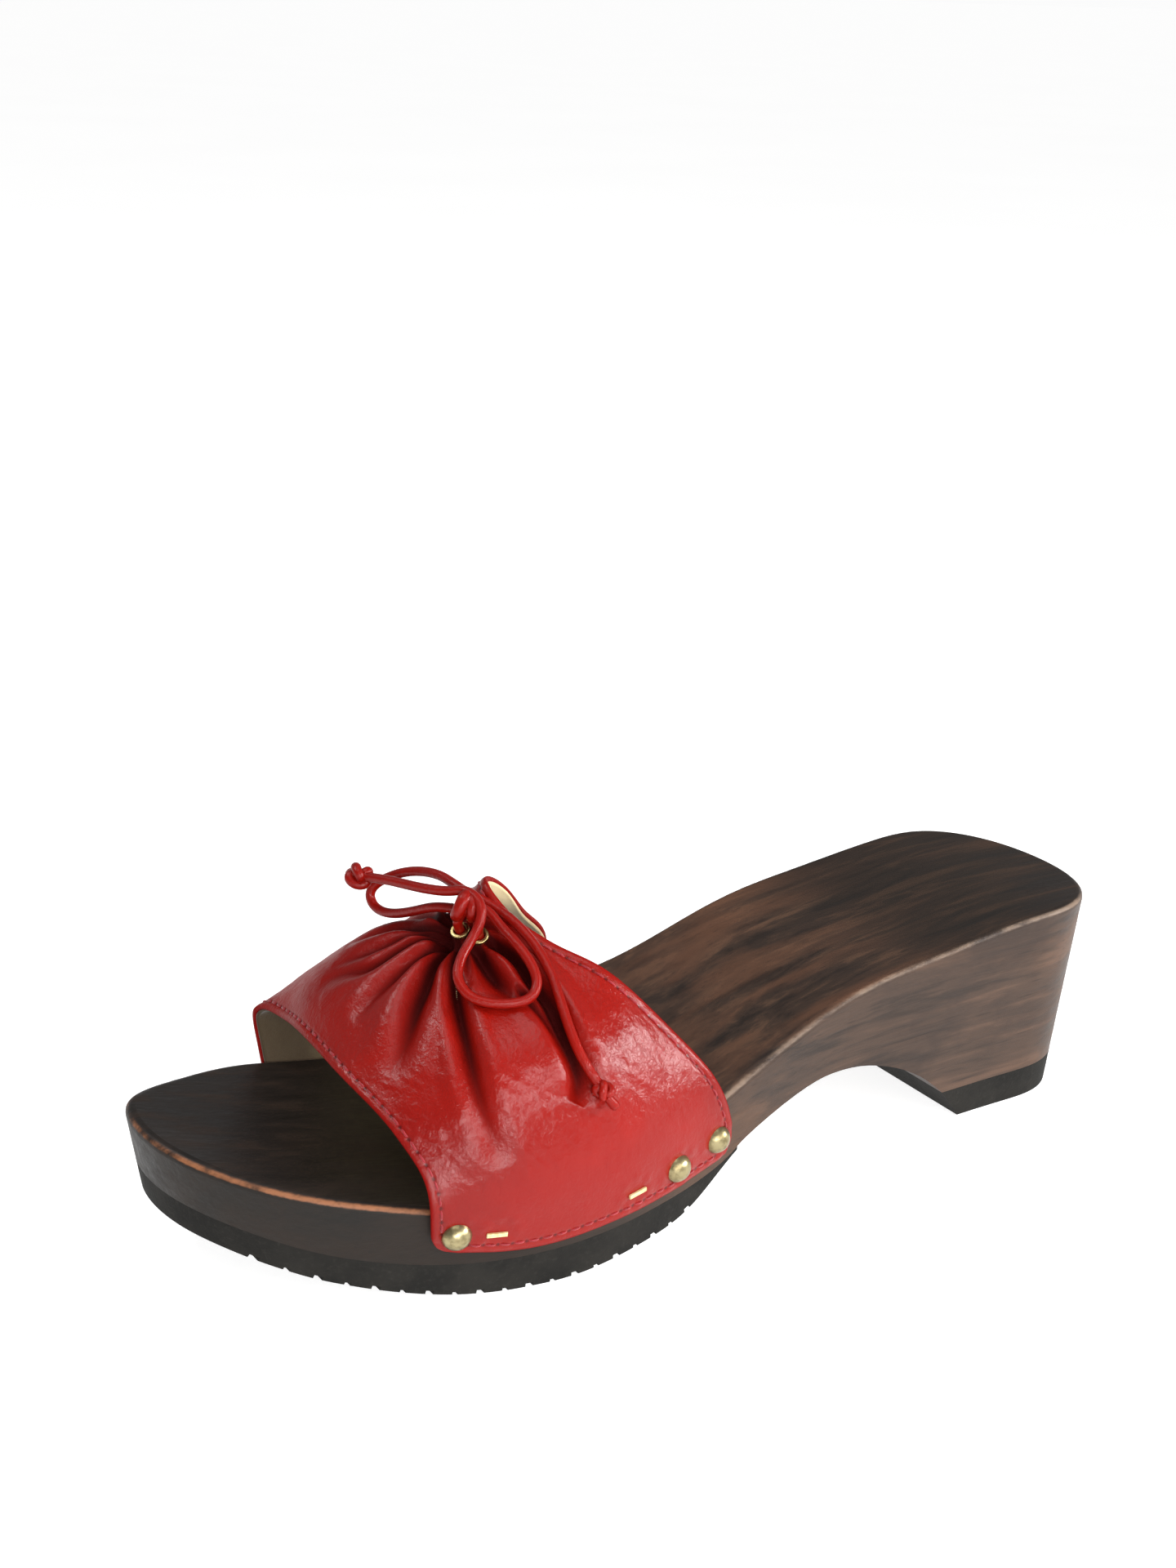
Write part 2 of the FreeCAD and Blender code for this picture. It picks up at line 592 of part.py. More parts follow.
# ---------------------------------------------------------------- eyelets
def nearest_on_leather(p):
    u, v = outer_surface.parameter(V(*p))
    return outer_surface.value(u, v), leather_normal(u, v)


eyelets = {}
eyelet_cuts = []
eyelet_frames = {}
for name, start in (("lace_eyelet_lateral", LACE_LATERAL[0]), ("lace_eyelet_medial", LACE_MEDIAL[0])):
    p, n = nearest_on_leather(start)
    ri, ro = EYELET_R_IN, EYELET_R_OUT
    barrel = 0.3
    depth = LEATHER + GLUE_GAP + LINING
    pts = [V(ri, 0, -depth - 0.55), V(ri, 0, 0.75), V(ro, 0, 0.75), V(ro, 0, -0.08), V(ri + barrel, 0, -0.08),
           V(ri + barrel, 0, -depth + 0.08), V(ro - 0.25, 0, -depth + 0.08), V(ro - 0.25, 0, -depth - 0.55)]
    edges = [Part.LineSegment(pts[i], pts[(i + 1) % len(pts)]).toShape() for i in range(len(pts))]
    ring = Part.Face(Part.Wire(edges)).revolve(V(0, 0, 0), V(0, 0, 1), 360)
    ring = Part.Solid(ring.Shells[0]) if not ring.Solids else ring.Solids[0]
    tops = [e for e in ring.Edges if e.Closed and abs(e.BoundBox.ZMin - 0.75) < 1e-4]
    ring = ring.makeFillet(0.28, tops)
    place = frame_at(p, n, V(0, 1, 0))
    ring.Placement = place
    eyelets[name] = ring
    eyelet_frames[name] = (p, n)
    cut = Part.makeCylinder(ri + barrel, 12, V(0, 0, -6), V(0, 0, 1))
    cut.Placement = place
    # The leather is pressed flat under the flanges, so it keeps clear of them.
    flat = Part.makeCylinder(ro + 0.15, 3, V(0, 0, -0.13), V(0, 0, 1))
    flat.Placement = place
    flat_under = Part.makeCylinder(ro, 4.13, V(0, 0, -depth - 4), V(0, 0, 1))
    flat_under.Placement = place
    eyelet_cuts.extend([cut, flat, flat_under])
    print(name, "at", [round(a, 2) for a in p], "normal", [round(a, 3) for a in n])
vamp_outer = max(vamp_outer.cut(Part.makeCompound(eyelet_cuts)).Solids, key=lambda s: s.Volume)
vamp_lining = max(vamp_lining.cut(Part.makeCompound(eyelet_cuts)).Solids, key=lambda s: s.Volume)
print("vamp", vamp_outer.isValid(), len(vamp_outer.Solids), round(vamp_outer.Volume),
      "lining", vamp_lining.isValid(), len(vamp_lining.Solids), round(vamp_lining.Volume))


# ---------------------------------------------------------------- lace
def tube(name, points, diameter):
    pts = [V(*p) for p in points]
    n = len(pts)
    edges = []
    last = pts[0]
    radii = []
    length = 0.0
    for i in range(1, n - 1):
        a = pts[i - 1] - pts[i]
        b = pts[i + 1] - pts[i]
        la, lb = a.Length, b.Length
        a.normalize()
        b.normalize()
        turn = math.pi - a.getAngle(b)
        t = 0.45 * min(la, lb)
        radius = t / math.tan(turn / 2)
        radii.append(radius)
        p = pts[i] + a * t
        q = pts[i] + b * t
        centre = pts[i] + (a + b).normalize() * (radius / math.cos(turn / 2))
        to_mid = pts[i] - centre
        to_mid.normalize()
        mid = centre + to_mid * radius
        edges.append(Part.LineSegment(last, p).toShape())
        edges.append(Part.Arc(p, mid, q).toShape())
        length += (p - last).Length + radius * turn
        last = q
    edges.append(Part.LineSegment(last, pts[-1]).toShape())
    length += (pts[-1] - last).Length
    path = Part.Wire(edges)
    start = pts[1] - pts[0]
    start.normalize()
    circle = Part.Wire([Part.Circle(pts[0], start, diameter / 2).toShape()])
    pipe = path.makePipeShell([circle], True, True, 1)
    pipe = pipe.Solids[0] if pipe.Solids else Part.Solid(pipe)
    if pipe.Volume < 0:
        pipe.reverse()
    ideal = math.pi * diameter * diameter / 4 * length
    print("%s length %.1f mm, volume / (section x length) %.4f, valid %s" % (name, length, pipe.Volume / ideal, pipe.isValid()))
    print("   radii:", " ".join("%.1f" % r for r in radii), " smallest %.2f mm = %.2f diameters" % (min(radii), min(radii) / diameter))
    return pipe


laces = {
    "lace_lateral": tube("lace_lateral", LACE_LATERAL, LACE_D),
    "lace_medial": tube("lace_medial", LACE_MEDIAL, LACE_D),
}
# Short run of lace under the leather, from one eyelet to the other.
pl, nl = eyelet_frames["lace_eyelet_lateral"]
pm, nm = eyelet_frames["lace_eyelet_medial"]
inner = [V(*LACE_LATERAL[0]) - nl * 0.05, pl - nl * 3.9, pm - nm * 3.9 , V(*LACE_MEDIAL[0]) - nm * 0.05]
laces["lace_inner_run"] = tube("lace_inner_run", inner, LACE_D)
knots = {}
for name, (route, length, radius) in END_KNOTS.items():
    # A tied lump, fat in the middle, with a short frayed end past it. Its flat
    # inner face is where the lace runs into it.
    r0 = LACE_D / 2
    profile = [(r0, 0.0), (radius * 0.86, length * 0.12), (radius, length * 0.3), (radius * 0.9, length * 0.5),
               (radius * 0.62, length * 0.66), (radius * 0.5, length * 0.78), (radius * 0.48, length * 0.9),
               (radius * 0.4, length * 0.98)]
    curve = Part.BSplineCurve()
    curve.interpolate([V(r, 0, z) for r, z in profile])
    edges = [Part.LineSegment(V(0, 0, 0), V(r0, 0, 0)).toShape(), curve.toShape(),
             Part.LineSegment(V(profile[-1][0], 0, profile[-1][1]), V(0, 0, profile[-1][1])).toShape(),
             Part.LineSegment(V(0, 0, profile[-1][1]), V(0, 0, 0)).toShape()]
    lump = Part.Face(Part.Wire(edges)).revolve(V(0, 0, 0), V(0, 0, 1), 360)
    lump = Part.Solid(lump.Shells[0]) if not lump.Solids else lump.Solids[0]
    if lump.Volume < 0:
        lump.reverse()
    end = V(*route[-1])
    direction = end - V(*route[-2])
    direction.normalize()
    lump.Placement = frame_at(end + direction * 0.03, direction, V(0, 0, 1))
    knots[name] = lump


# ---------------------------------------------------------------- hem stitching
def run_of_stitches(points_normals):
    """Short straight stitches laid on a line of surface points."""
    dist = [0.0]
    for (p, _), (q, _) in zip(points_normals[:-1], points_normals[1:]):
        dist.append(dist[-1] + (q - p).Length)

    def at(s):
        k = 0
        while k < len(dist) - 2 and dist[k + 1] < s:
            k += 1
        f = (s - dist[k]) / max(dist[k + 1] - dist[k], 1e-9)
        p = points_normals[k][0] * (1 - f) + points_normals[k + 1][0] * f
        n = points_normals[k][1] * (1 - f) + points_normals[k + 1][1] * f
        n.normalize()
        return p, n

    total = dist[-1]
    number = int(total / STITCH_PITCH)
    solids = []
    for k in range(number):
        s = (k + 0.5) * total / number
        p, n = at(s - STITCH_LEN / 2)
        q, m = at(s + STITCH_LEN / 2)
        lift_by = STITCH_D / 2 + 0.08
        a = p + n * lift_by
        b = q + m * lift_by
        axis = b - a
        solids.append(Part.makeCylinder(STITCH_D / 2, axis.Length, a, axis))
    return Part.makeCompound(solids), number


def inset_line(border_u, border_v, start, end, count_=160):
    """Points HEM_INSET inside an edge of the leather, from start to end along it."""
    out_ = []
    for k in range(count_):
        f = start + (end - start) * k / (count_ - 1.0)
        if border_u is not None:
            v = v0 + (v1 - v0) * f
            sign = 1 if border_u == u0 else -1
            p0 = outer_surface.value(border_u, v)
            step = (u1 - u0) * 0.02
            slope = (outer_surface.value(border_u + sign * step, v) - p0).Length / step
            u = border_u + sign * HEM_INSET / slope
        else:
            u = u0 + (u1 - u0) * f
            sign = 1 if border_v == v0 else -1
            p0 = outer_surface.value(u, border_v)
            step = (v1 - v0) * 0.01
            slope = (outer_surface.value(u, border_v + sign * step) - p0).Length / step
            v = border_v + sign * HEM_INSET / slope
        out_.append((outer_surface.value(u, v), leather_normal(u, v)))
    return out_


stitches = {}
stitches["hem_thread_front"], n1 = run_of_stitches(inset_line(u0, None, 0.014, 0.986))
stitches["hem_thread_rear"], n2 = run_of_stitches(inset_line(u1, None, 0.014, 0.986))
stitches["hem_thread_lateral"], n3 = run_of_stitches(inset_line(None, v0, 0.032, 0.968))
stitches["hem_thread_medial"], n4 = run_of_stitches(inset_line(None, v1, 0.032, 0.968))
print("stitches", n1, n2, n3, n4)

# ---------------------------------------------------------------- write
nodes = {}
nodes["wooden_sole"] = wood
nodes["forefoot_rubber_sole"] = rubber
nodes["heel_rubber_lift"] = lift
nodes["vamp_outer"] = vamp_outer
nodes["vamp_lining"] = vamp_lining
nodes.update(fixings)
nodes.update(eyelets)
nodes.update(laces)
nodes.update(knots)
nodes.update(stitches)
written = {}
for name in nodes:
    written[name] = out(name, nodes[name])
cords = set(laces) | set(knots)
box = FreeCAD.BoundBox()
for name, s in written.items():
    if name not in cords:
        box.add(s.optimalBoundingBox(True, False))
print("box without cords", [round(a, 3) for a in (box.XMin, box.XMax, box.YMin, box.YMax, box.ZMin, box.ZMax)],
      "centre", round((box.XMin + box.XMax) / 2, 3), round((box.YMin + box.YMax) / 2, 3))
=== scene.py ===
import json
import math

import bpy
import numpy as np
from mathutils import Matrix, Vector
from mathutils.bvhtree import BVHTree


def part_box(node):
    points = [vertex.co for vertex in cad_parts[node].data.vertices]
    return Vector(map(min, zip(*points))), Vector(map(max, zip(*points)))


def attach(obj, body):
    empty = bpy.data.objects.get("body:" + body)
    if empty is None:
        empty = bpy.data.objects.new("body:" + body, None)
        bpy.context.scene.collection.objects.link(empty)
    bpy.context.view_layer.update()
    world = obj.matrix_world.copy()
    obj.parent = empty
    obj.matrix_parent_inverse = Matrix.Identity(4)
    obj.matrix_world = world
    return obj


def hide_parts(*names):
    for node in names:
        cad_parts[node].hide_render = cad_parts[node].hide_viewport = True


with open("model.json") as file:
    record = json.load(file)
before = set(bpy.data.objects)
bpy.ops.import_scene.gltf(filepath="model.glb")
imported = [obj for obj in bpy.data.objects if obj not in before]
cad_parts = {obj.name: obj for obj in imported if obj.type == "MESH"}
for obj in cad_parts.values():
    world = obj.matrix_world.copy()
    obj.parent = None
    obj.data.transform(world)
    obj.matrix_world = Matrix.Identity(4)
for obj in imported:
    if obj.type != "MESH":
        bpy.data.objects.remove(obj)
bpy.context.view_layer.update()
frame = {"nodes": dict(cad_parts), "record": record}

MM = 0.001
SHIFT = np.array([0.13, 0.68, 0.0])      # the working frame's shift, as in part.py, in mm
NODES = frame["nodes"]
COL = bpy.context.scene.collection


def link(obj):
    COL.objects.link(obj)
    return obj


# ------------------------------------------------------------------ camera
cam_data = bpy.data.cameras.new("camera")
cam_data.lens = 48.81
cam_data.sensor_width = 36.0
cam_data.sensor_fit = "AUTO"
cam_data.shift_x = 0.0
cam_data.shift_y = 0.1719
cam_data.clip_start = 0.02
cam_data.clip_end = 300.0
cam = link(bpy.data.objects.new("camera", cam_data))
right = Vector((0.54556583, 0.83763512, 0.02693212))
up = Vector((-0.3892453, 0.22480069, 0.89328201))
back = Vector((0.74219002, -0.49782734, 0.44868911))
m = Matrix((
    (right.x, up.x, back.x, (369.1 + SHIFT[0]) * MM),
    (right.y, up.y, back.y, (-265.1 + SHIFT[1]) * MM),
    (right.z, up.z, back.z, (251.8 + SHIFT[2]) * MM),
    (0, 0, 0, 1),
))
cam.matrix_world = m
bpy.context.scene.camera = cam
bpy.context.scene.view_settings.view_transform = "Standard"


# ------------------------------------------------------------------ material helpers
class Nodes:
    """Small helper that builds a procedural material."""

    def __init__(self, name):
        self.mat = bpy.data.materials.new(name)
        self.mat.use_nodes = True
        self.t = self.mat.node_tree
        for n in list(self.t.nodes):
            self.t.nodes.remove(n)
        self.out = self.t.nodes.new("ShaderNodeOutputMaterial")
        self.bsdf = self.t.nodes.new("ShaderNodeBsdfPrincipled")
        self.t.links.new(self.bsdf.outputs[0], self.out.inputs["Surface"])
        self.coord = self.t.nodes.new("ShaderNodeTexCoord")

    def node(self, kind, **kw):
        n = self.t.nodes.new(kind)
        for k, v in kw.items():
            setattr(n, k, v)
        return n

    def link(self, a, b):
        self.t.links.new(a, b)

    def mapped(self, scale, rotation=(0, 0, 0), location=(0, 0, 0)):
        n = self.node("ShaderNodeMapping")
        n.inputs["Scale"].default_value = scale
        n.inputs["Rotation"].default_value = rotation
        n.inputs["Location"].default_value = location
        self.link(self.coord.outputs["Object"], n.inputs["Vector"])
        return n.outputs[0]

    def noise(self, vec, scale, detail=4.0, rough=0.55, distortion=0.0):
        n = self.node("ShaderNodeTexNoise")
        n.inputs["Scale"].default_value = scale
        n.inputs["Detail"].default_value = detail
        n.inputs["Roughness"].default_value = rough
        n.inputs["Distortion"].default_value = distortion
        self.link(vec, n.inputs["Vector"])
        return n.outputs["Fac"]

    def voronoi(self, vec, scale, feature="F1", randomness=1.0):
        n = self.node("ShaderNodeTexVoronoi", feature=feature)
        n.inputs["Scale"].default_value = scale
        n.inputs["Randomness"].default_value = randomness
        self.link(vec, n.inputs["Vector"])
        return n.outputs["Distance"]

    def ramp(self, fac, stops, interpolation="EASE"):
        n = self.node("ShaderNodeValToRGB")
        n.color_ramp.interpolation = interpolation
        e = n.color_ramp.elements
        while len(e) < len(stops):
            e.new(0.5)
        for el, (pos, col) in zip(e, stops):
            el.position = pos
            el.color = tuple(col) + ((1.0,) if len(col) == 3 else ())
        self.link(fac, n.inputs[0])
        return n.outputs[0]

    def span(self, value, a, b, lo=0.0, hi=1.0, smooth=True):
        n = self.node("ShaderNodeMapRange")
        n.interpolation_type = "SMOOTHSTEP" if smooth else "LINEAR"
        n.inputs["From Min"].default_value = a
        n.inputs["From Max"].default_value = b
        n.inputs["To Min"].default_value = lo
        n.inputs["To Max"].default_value = hi
        self.link(value, n.inputs["Value"])
        return n.outputs["Result"]

    def math(self, op, a, b=None):
        n = self.node("ShaderNodeMath", operation=op)
        for i, v in enumerate((a, b)):
            if v is None:
                continue
            if isinstance(v, (int, float)):
                n.inputs[i].default_value = v
            else:
                self.link(v, n.inputs[i])
        return n.outputs[0]

    def mix(self, fac, a, b, blend="MIX"):
        n = self.node("ShaderNodeMix", data_type="RGBA", blend_type=blend)
        for sock, v in ((n.inputs[0], fac), (n.inputs[6], a), (n.inputs[7], b)):
            if isinstance(v, (int, float)):
                sock.default_value = v
            elif isinstance(v, tuple):
                sock.default_value = v + ((1.0,) if len(v) == 3 else ())
            else:
                self.link(v, sock)
        return n.outputs[2]

    def bump(self, height, strength, distance, chain=None):
        n = self.node("ShaderNodeBump")
        n.inputs["Strength"].default_value = strength
        n.inputs["Distance"].default_value = distance
        self.link(height, n.inputs["Height"])
        if chain is not None:
            self.link(chain, n.inputs["Normal"])
        return n.outputs[0]

    def attribute(self, name):
        n = self.node("ShaderNodeAttribute", attribute_name=name)
        return n.outputs["Fac"]

    def position(self):
        sep = self.node("ShaderNodeSeparateXYZ")
        self.link(self.coord.outputs["Object"], sep.inputs[0])
        return sep.outputs

    def normal(self):
        g = self.node("ShaderNodeNewGeometry")
        sep = self.node("ShaderNodeSeparateXYZ")
        self.link(g.outputs["Normal"], sep.inputs[0])
        return sep.outputs

    def set(self, **kw):
        names = {"color": "Base Color", "rough": "Roughness", "metal": "Metallic", "normal": "Normal",
                 "coat": "Coat Weight", "coat_rough": "Coat Roughness", "spec": "Specular IOR Level",
                 "sheen": "Sheen Weight", "sheen_rough": "Sheen Roughness", "ior": "IOR",
                 "coat_normal": "Coat Normal", "sheen_tint": "Sheen Tint"}
        for k, v in kw.items():
            s = self.bsdf.inputs[names[k]]
            if isinstance(v, (int, float)):
                s.default_value = v
            elif isinstance(v, tuple):
                s.default_value = v + ((1.0,) if len(v) == 3 else ())
            else:
                self.link(v, s)
        return self.mat


def srgb(r, g, b):
    def f(c):
        c = c / 255.0
        return c / 12.92 if c <= 0.04045 else ((c + 0.055) / 1.055) ** 2.4
    return (f(r), f(g), f(b))


# ------------------------------------------------------------------ materials
def red_leather(name, coat=0.47, with_shade=True):
    k = Nodes(name)
    vec = k.mapped((1, 1, 1))
    cloud = k.noise(vec, 38, 3, 0.5)
    mottle = k.noise(vec, 240, 4, 0.6)
    base = k.ramp(cloud, [(0.25, srgb(118, 9, 4)), (0.55, srgb(131, 13, 5)), (0.8, srgb(144, 18, 9))])
    base = k.mix(k.span(mottle, 0.35, 0.75, 0.0, 0.2), base, srgb(128, 13, 7))
    if with_shade:
        # painted shade: the leather is darkened in the pleat valleys and in the pit where they run together
        base = k.mix(k.span(k.attribute("valley"), 0.08, 0.8, 0.0, 0.92), base, srgb(38, 2, 2))
        base = k.mix(k.span(k.attribute("edge"), 0.0, 1.0, 0.0, 0.3), base, srgb(128, 14, 14))
        # painted shade: the leather is darkened round the stitch holes
        base = k.mix(k.span(k.attribute("hole"), 0.15, 0.9, 0.0, 0.8), base, srgb(56, 4, 8))
    grain = k.voronoi(vec, 1500)
    fine = k.noise(vec, 1900, 3, 0.6)
    crease = k.noise(k.mapped((1.0, 1.0, 1.0), (0.3, 0.5, 0.9)), 330, 5, 0.6, 0.6)
    soft = k.noise(k.mapped((1.0, 1.0, 0.8), (0.2, 0.1, 0.3)), 820, 5, 0.62, 0.4)
    b = k.bump(grain, 0.14, 0.00014)
    b = k.bump(fine, 0.12, 0.00012, b)
    b = k.bump(soft, 0.5, 0.00032, b)
    b = k.bump(crease, 0.27, 0.00045, b)
    rough = k.span(mottle, 0.2, 0.8, 0.34, 0.48)
    shine = coat
    if with_shade:
        deep = k.math("MAXIMUM", k.attribute("valley"), k.math("MULTIPLY", k.attribute("edge"), 0.4))
        rough = k.math("ADD", rough, k.span(deep, 0.1, 0.7, 0.0, 0.35))
        shine = k.span(deep, 0.05, 0.4, coat, 0.0)
        # less gloss on the side towards the other foot
        shine = k.math("MULTIPLY", shine, k.span(k.position()[0], 0.004, -0.02, 1.0, 0.18))
    return k.set(color=base, rough=rough, spec=0.06, coat=shine, coat_rough=0.18, ior=1.5, normal=b, coat_normal=b)


def suede():
    k = Nodes("lining_suede")
    vec = k.mapped((1, 1, 1))
    base = k.ramp(k.noise(vec, 60, 4, 0.6), [(0.25, srgb(176, 152, 108)), (0.55, srgb(200, 178, 132)), (0.8, srgb(212, 192, 148))])
    fibre = k.noise(vec, 2600, 5, 0.7)
    base = k.mix(k.span(fibre, 0.3, 0.75, 0.0, 0.3), base, srgb(112, 90, 58))
    # painted shade: the lining is darkened inside the toe, under the vamp
    front = k.span(k.position()[1], -0.045, -0.07, 0.0, 0.93)
    base = k.mix(front, base, srgb(46, 32, 20))
    # painted light: the lining is lighter along the top of the opening, where light falls on it
    base = k.mix(k.span(k.position()[2], 0.056, 0.068, 0.0, 0.6), base, srgb(238, 216, 168))
    b = k.bump(fibre, 0.35, 0.00025)
    b = k.bump(k.noise(vec, 420, 4, 0.6), 0.3, 0.0004, b)
    return k.set(color=base, rough=0.93, spec=0.2, sheen=0.25, sheen_rough=0.5, normal=b)


def wood():
    k = Nodes("stained_wood")
    pos = k.position()
    nrm = k.normal()
    long_vec = k.mapped((1.0, 0.07, 1.0), (0.05, 0.0, 0.03))
    streak = k.noise(long_vec, 230, 9, 0.64, 0.35)
    broad = k.noise(k.mapped((1.0, 0.16, 1.0), (0.04, 0.02, 0.05)), 42, 5, 0.55, 0.8)
    fibre = k.noise(k.mapped((1.0, 0.03, 1.0)), 900, 6, 0.7)
    pores = k.voronoi(k.mapped((1.0, 0.06, 1.0)), 700)
    # the sides: a thin grey-brown stain over the wood; darker towards the toe, partly a darker stain there and partly
    # painted shade
    side_col = k.ramp(streak, [(0.34, srgb(43, 33, 27)), (0.5, srgb(64, 49, 40)), (0.66, srgb(84, 64, 52))])
    side_col = k.mix(k.span(broad, 0.42, 0.66, 0.0, 0.5), side_col, srgb(96, 68, 50))
    blotch = k.noise(k.mapped((1.0, 0.5, 0.8), (0.2, 0.3, 0.1)), 46, 5, 0.6, 0.5)
    side_col = k.mix(k.span(blotch, 0.52, 0.32, 0.0, 0.6), side_col, srgb(42, 33, 29))
    # darker towards the toe: partly a darker stain, partly painted shade
    side_col = k.mix(k.span(pos[1], 0.035, -0.075, 0.0, 0.88), side_col, srgb(17, 15, 12))
    # the footbed: dark brown with fine lengthwise grain
    bed_col = k.ramp(streak, [(0.38, srgb(26, 20, 17)), (0.5, srgb(50, 38, 31)), (0.64, srgb(82, 60, 46))])
    bed_col = k.mix(k.span(broad, 0.45, 0.72, 0.0, 0.4), bed_col, srgb(94, 64, 48))
    bed_col = k.mix(k.span(broad, 0.5, 0.3, 0.0, 0.5), bed_col, srgb(34, 28, 25))
    toe = k.span(pos[1], -0.02, -0.06)
    waist = k.math("MULTIPLY", k.span(pos[1], -0.02, 0.015), k.span(pos[1], 0.085, 0.045))
    brown = k.noise(k.mapped((1.0, 0.09, 1.0), (0.02, 0.0, 0.03)), 85, 4, 0.5, 0.3)
    bed_col = k.mix(k.math("MULTIPLY", waist, k.span(brown, 0.42, 0.62, 0.05, 0.62)), bed_col, srgb(98, 66, 48))
    bed_col = k.mix(k.span(pos[1], 0.042, 0.07, 0.0, 0.62), bed_col, srgb(28, 22, 18))
    # the footbed is darker at the toe: partly a darker stain, partly painted shade under the vamp
    bed_col = k.mix(k.math("MULTIPLY", toe, 0.82), bed_col, srgb(20, 17, 15))
    upward = k.span(nrm[2], 0.5, 0.85)
    col = k.mix(upward, side_col, bed_col)
    col = k.mix(k.span(fibre, 0.45, 0.8, 0.0, 0.3), col, srgb(28, 22, 20))
    col = k.mix(k.span(pores, 0.22, 0.02, 0.0, 0.4), col, srgb(20, 16, 15))
    # rim: the rounded edge between footbed and side is lighter, with copper-brown wear through the stain at the toe and
    # a pale grey painted highlight along the arch and heel
    up1 = k.span(nrm[2], 0.22, 0.5)
    up2 = k.span(nrm[2], 0.94, 0.72)
    rim = k.math("MULTIPLY", up1, up2)
    wear = k.span(k.noise(k.mapped((1.0, 0.5, 1.0)), 120, 6, 0.7), 0.36, 0.62)
    rim_wear_and_highlight_weight = k.span(pos[1], -0.035, -0.075, 0.55, 0.9)
    rim_wear_and_highlight = k.mix(k.span(pos[1], -0.03, -0.07), srgb(146, 124, 106), srgb(142, 92, 62))
    col = k.mix(k.math("MULTIPLY", rim, k.math("MULTIPLY", wear, rim_wear_and_highlight_weight)), col, rim_wear_and_highlight)
    b = k.bump(fibre, 0.28, 0.0003)
    b = k.bump(pores, 0.2, 0.0002, b)
    b = k.bump(streak, 0.22, 0.0005, b)
    rough = k.span(streak, 0.3, 0.7, 0.42, 0.58)
    return k.set(color=col, rough=rough, spec=0.2, coat=0.04, coat_rough=0.35, normal=b)


def rubber():
    k = Nodes("outsole_rubber")
    vec = k.mapped((1, 1, 1))
    col = k.ramp(k.noise(vec, 90, 5, 0.6), [(0.3, srgb(23, 22, 20)), (0.7, srgb(34, 32, 29))])
    col = k.mix(k.span(k.noise(vec, 900, 4, 0.6), 0.5, 0.8, 0.0, 0.3), col, srgb(56, 53, 49))
    b = k.bump(k.noise(vec, 1300, 4, 0.65), 0.35, 0.0003)
    b = k.bump(k.noise(k.mapped((1, 1, 0.25)), 260, 4, 0.6), 0.2, 0.0004, b)
    return k.set(color=col, rough=0.78, spec=0.16, normal=b)


def brass(name, tone, patina, rough_lo, rough_hi):
    k = Nodes(name)
    vec = k.mapped((1, 1, 1))
    spots = k.noise(vec, 420, 5, 0.6)
    col = k.ramp(spots, [(0.3, patina), (0.6, tone), (0.85, tone)])
    b = k.bump(k.noise(vec, 1800, 4, 0.6), 0.08, 0.0001)
    b = k.bump(k.noise(vec, 420, 3, 0.5), 0.08, 0.0002, b)
    return k.set(color=col, rough=k.span(spots, 0.3, 0.75, rough_hi, rough_lo), metal=1.0, normal=b)


def staple_metal():
    k = Nodes("staple_metal")
    vec = k.mapped((1, 1, 1))
    spots = k.noise(vec, 900, 4, 0.6)
    col = k.ramp(spots, [(0.3, srgb(196, 172, 116)), (0.6, srgb(226, 208, 158))])
    b = k.bump(k.noise(vec, 2200, 4, 0.6), 0.2, 0.0001)
    return k.set(color=col, rough=0.42, metal=0.25, spec=0.4, normal=b)


def thread():
    k = Nodes("hem_thread")
    vec = k.mapped((1, 1, 1), (0.6, 0.2, 0.9))
    twist = k.noise(k.mapped((1.0, 2.6, 1.0), (0.5, 0.4, 0.7)), 1800, 2, 0.5)
    col = k.ramp(k.noise(vec, 400, 3, 0.5), [(0.3, srgb(124, 12, 24)), (0.7, srgb(148, 20, 32))])
    b = k.bump(twist, 0.5, 0.0002)
    return k.set(color=col, rough=0.6, spec=0.35, sheen=0.2, normal=b)


MAT = {
    "stained_wood": wood(),
    "outsole_rubber": rubber(),
    "vamp_leather": red_leather("vamp_leather"),
    "lining_suede": suede(),
    "nail_brass": brass("nail_brass", srgb(166, 154, 116), srgb(118, 106, 74), 0.28, 0.4),
    "staple_metal": staple_metal(),
    "eyelet_brass": brass("eyelet_brass", srgb(206, 186, 128), srgb(150, 128, 78), 0.22, 0.34),
    "lace_leather": red_leather("lace_leather", coat=0.3, with_shade=False),
    "hem_thread": thread(),
}


def paint(obj, slot):
    obj.data.materials.clear()
    obj.data.materials.append(MAT[slot])
    for p in obj.data.polygons:
        p.material_index = 0


NODE_SLOT = {}
for part in frame["record"].get("subparts", []) or frame["record"].get("sub_parts", []) or []:
    NODE_SLOT[part["node"]] = part["material_slot"]
for name, obj in NODES.items():
    slot = NODE_SLOT.get(name)
    if slot is None:
        slot = ("stained_wood" if name == "wooden_sole" else "outsole_rubber" if "rubber" in name
                else "vamp_leather" if name == "vamp_outer" else "lining_suede" if name == "vamp_lining"
                else "nail_brass" if name.startswith("nail") else "staple_metal" if name.startswith("staple")
                else "eyelet_brass" if "eyelet" in name else "hem_thread" if name.startswith("hem") else "lace_leather")
    paint(obj, slot)

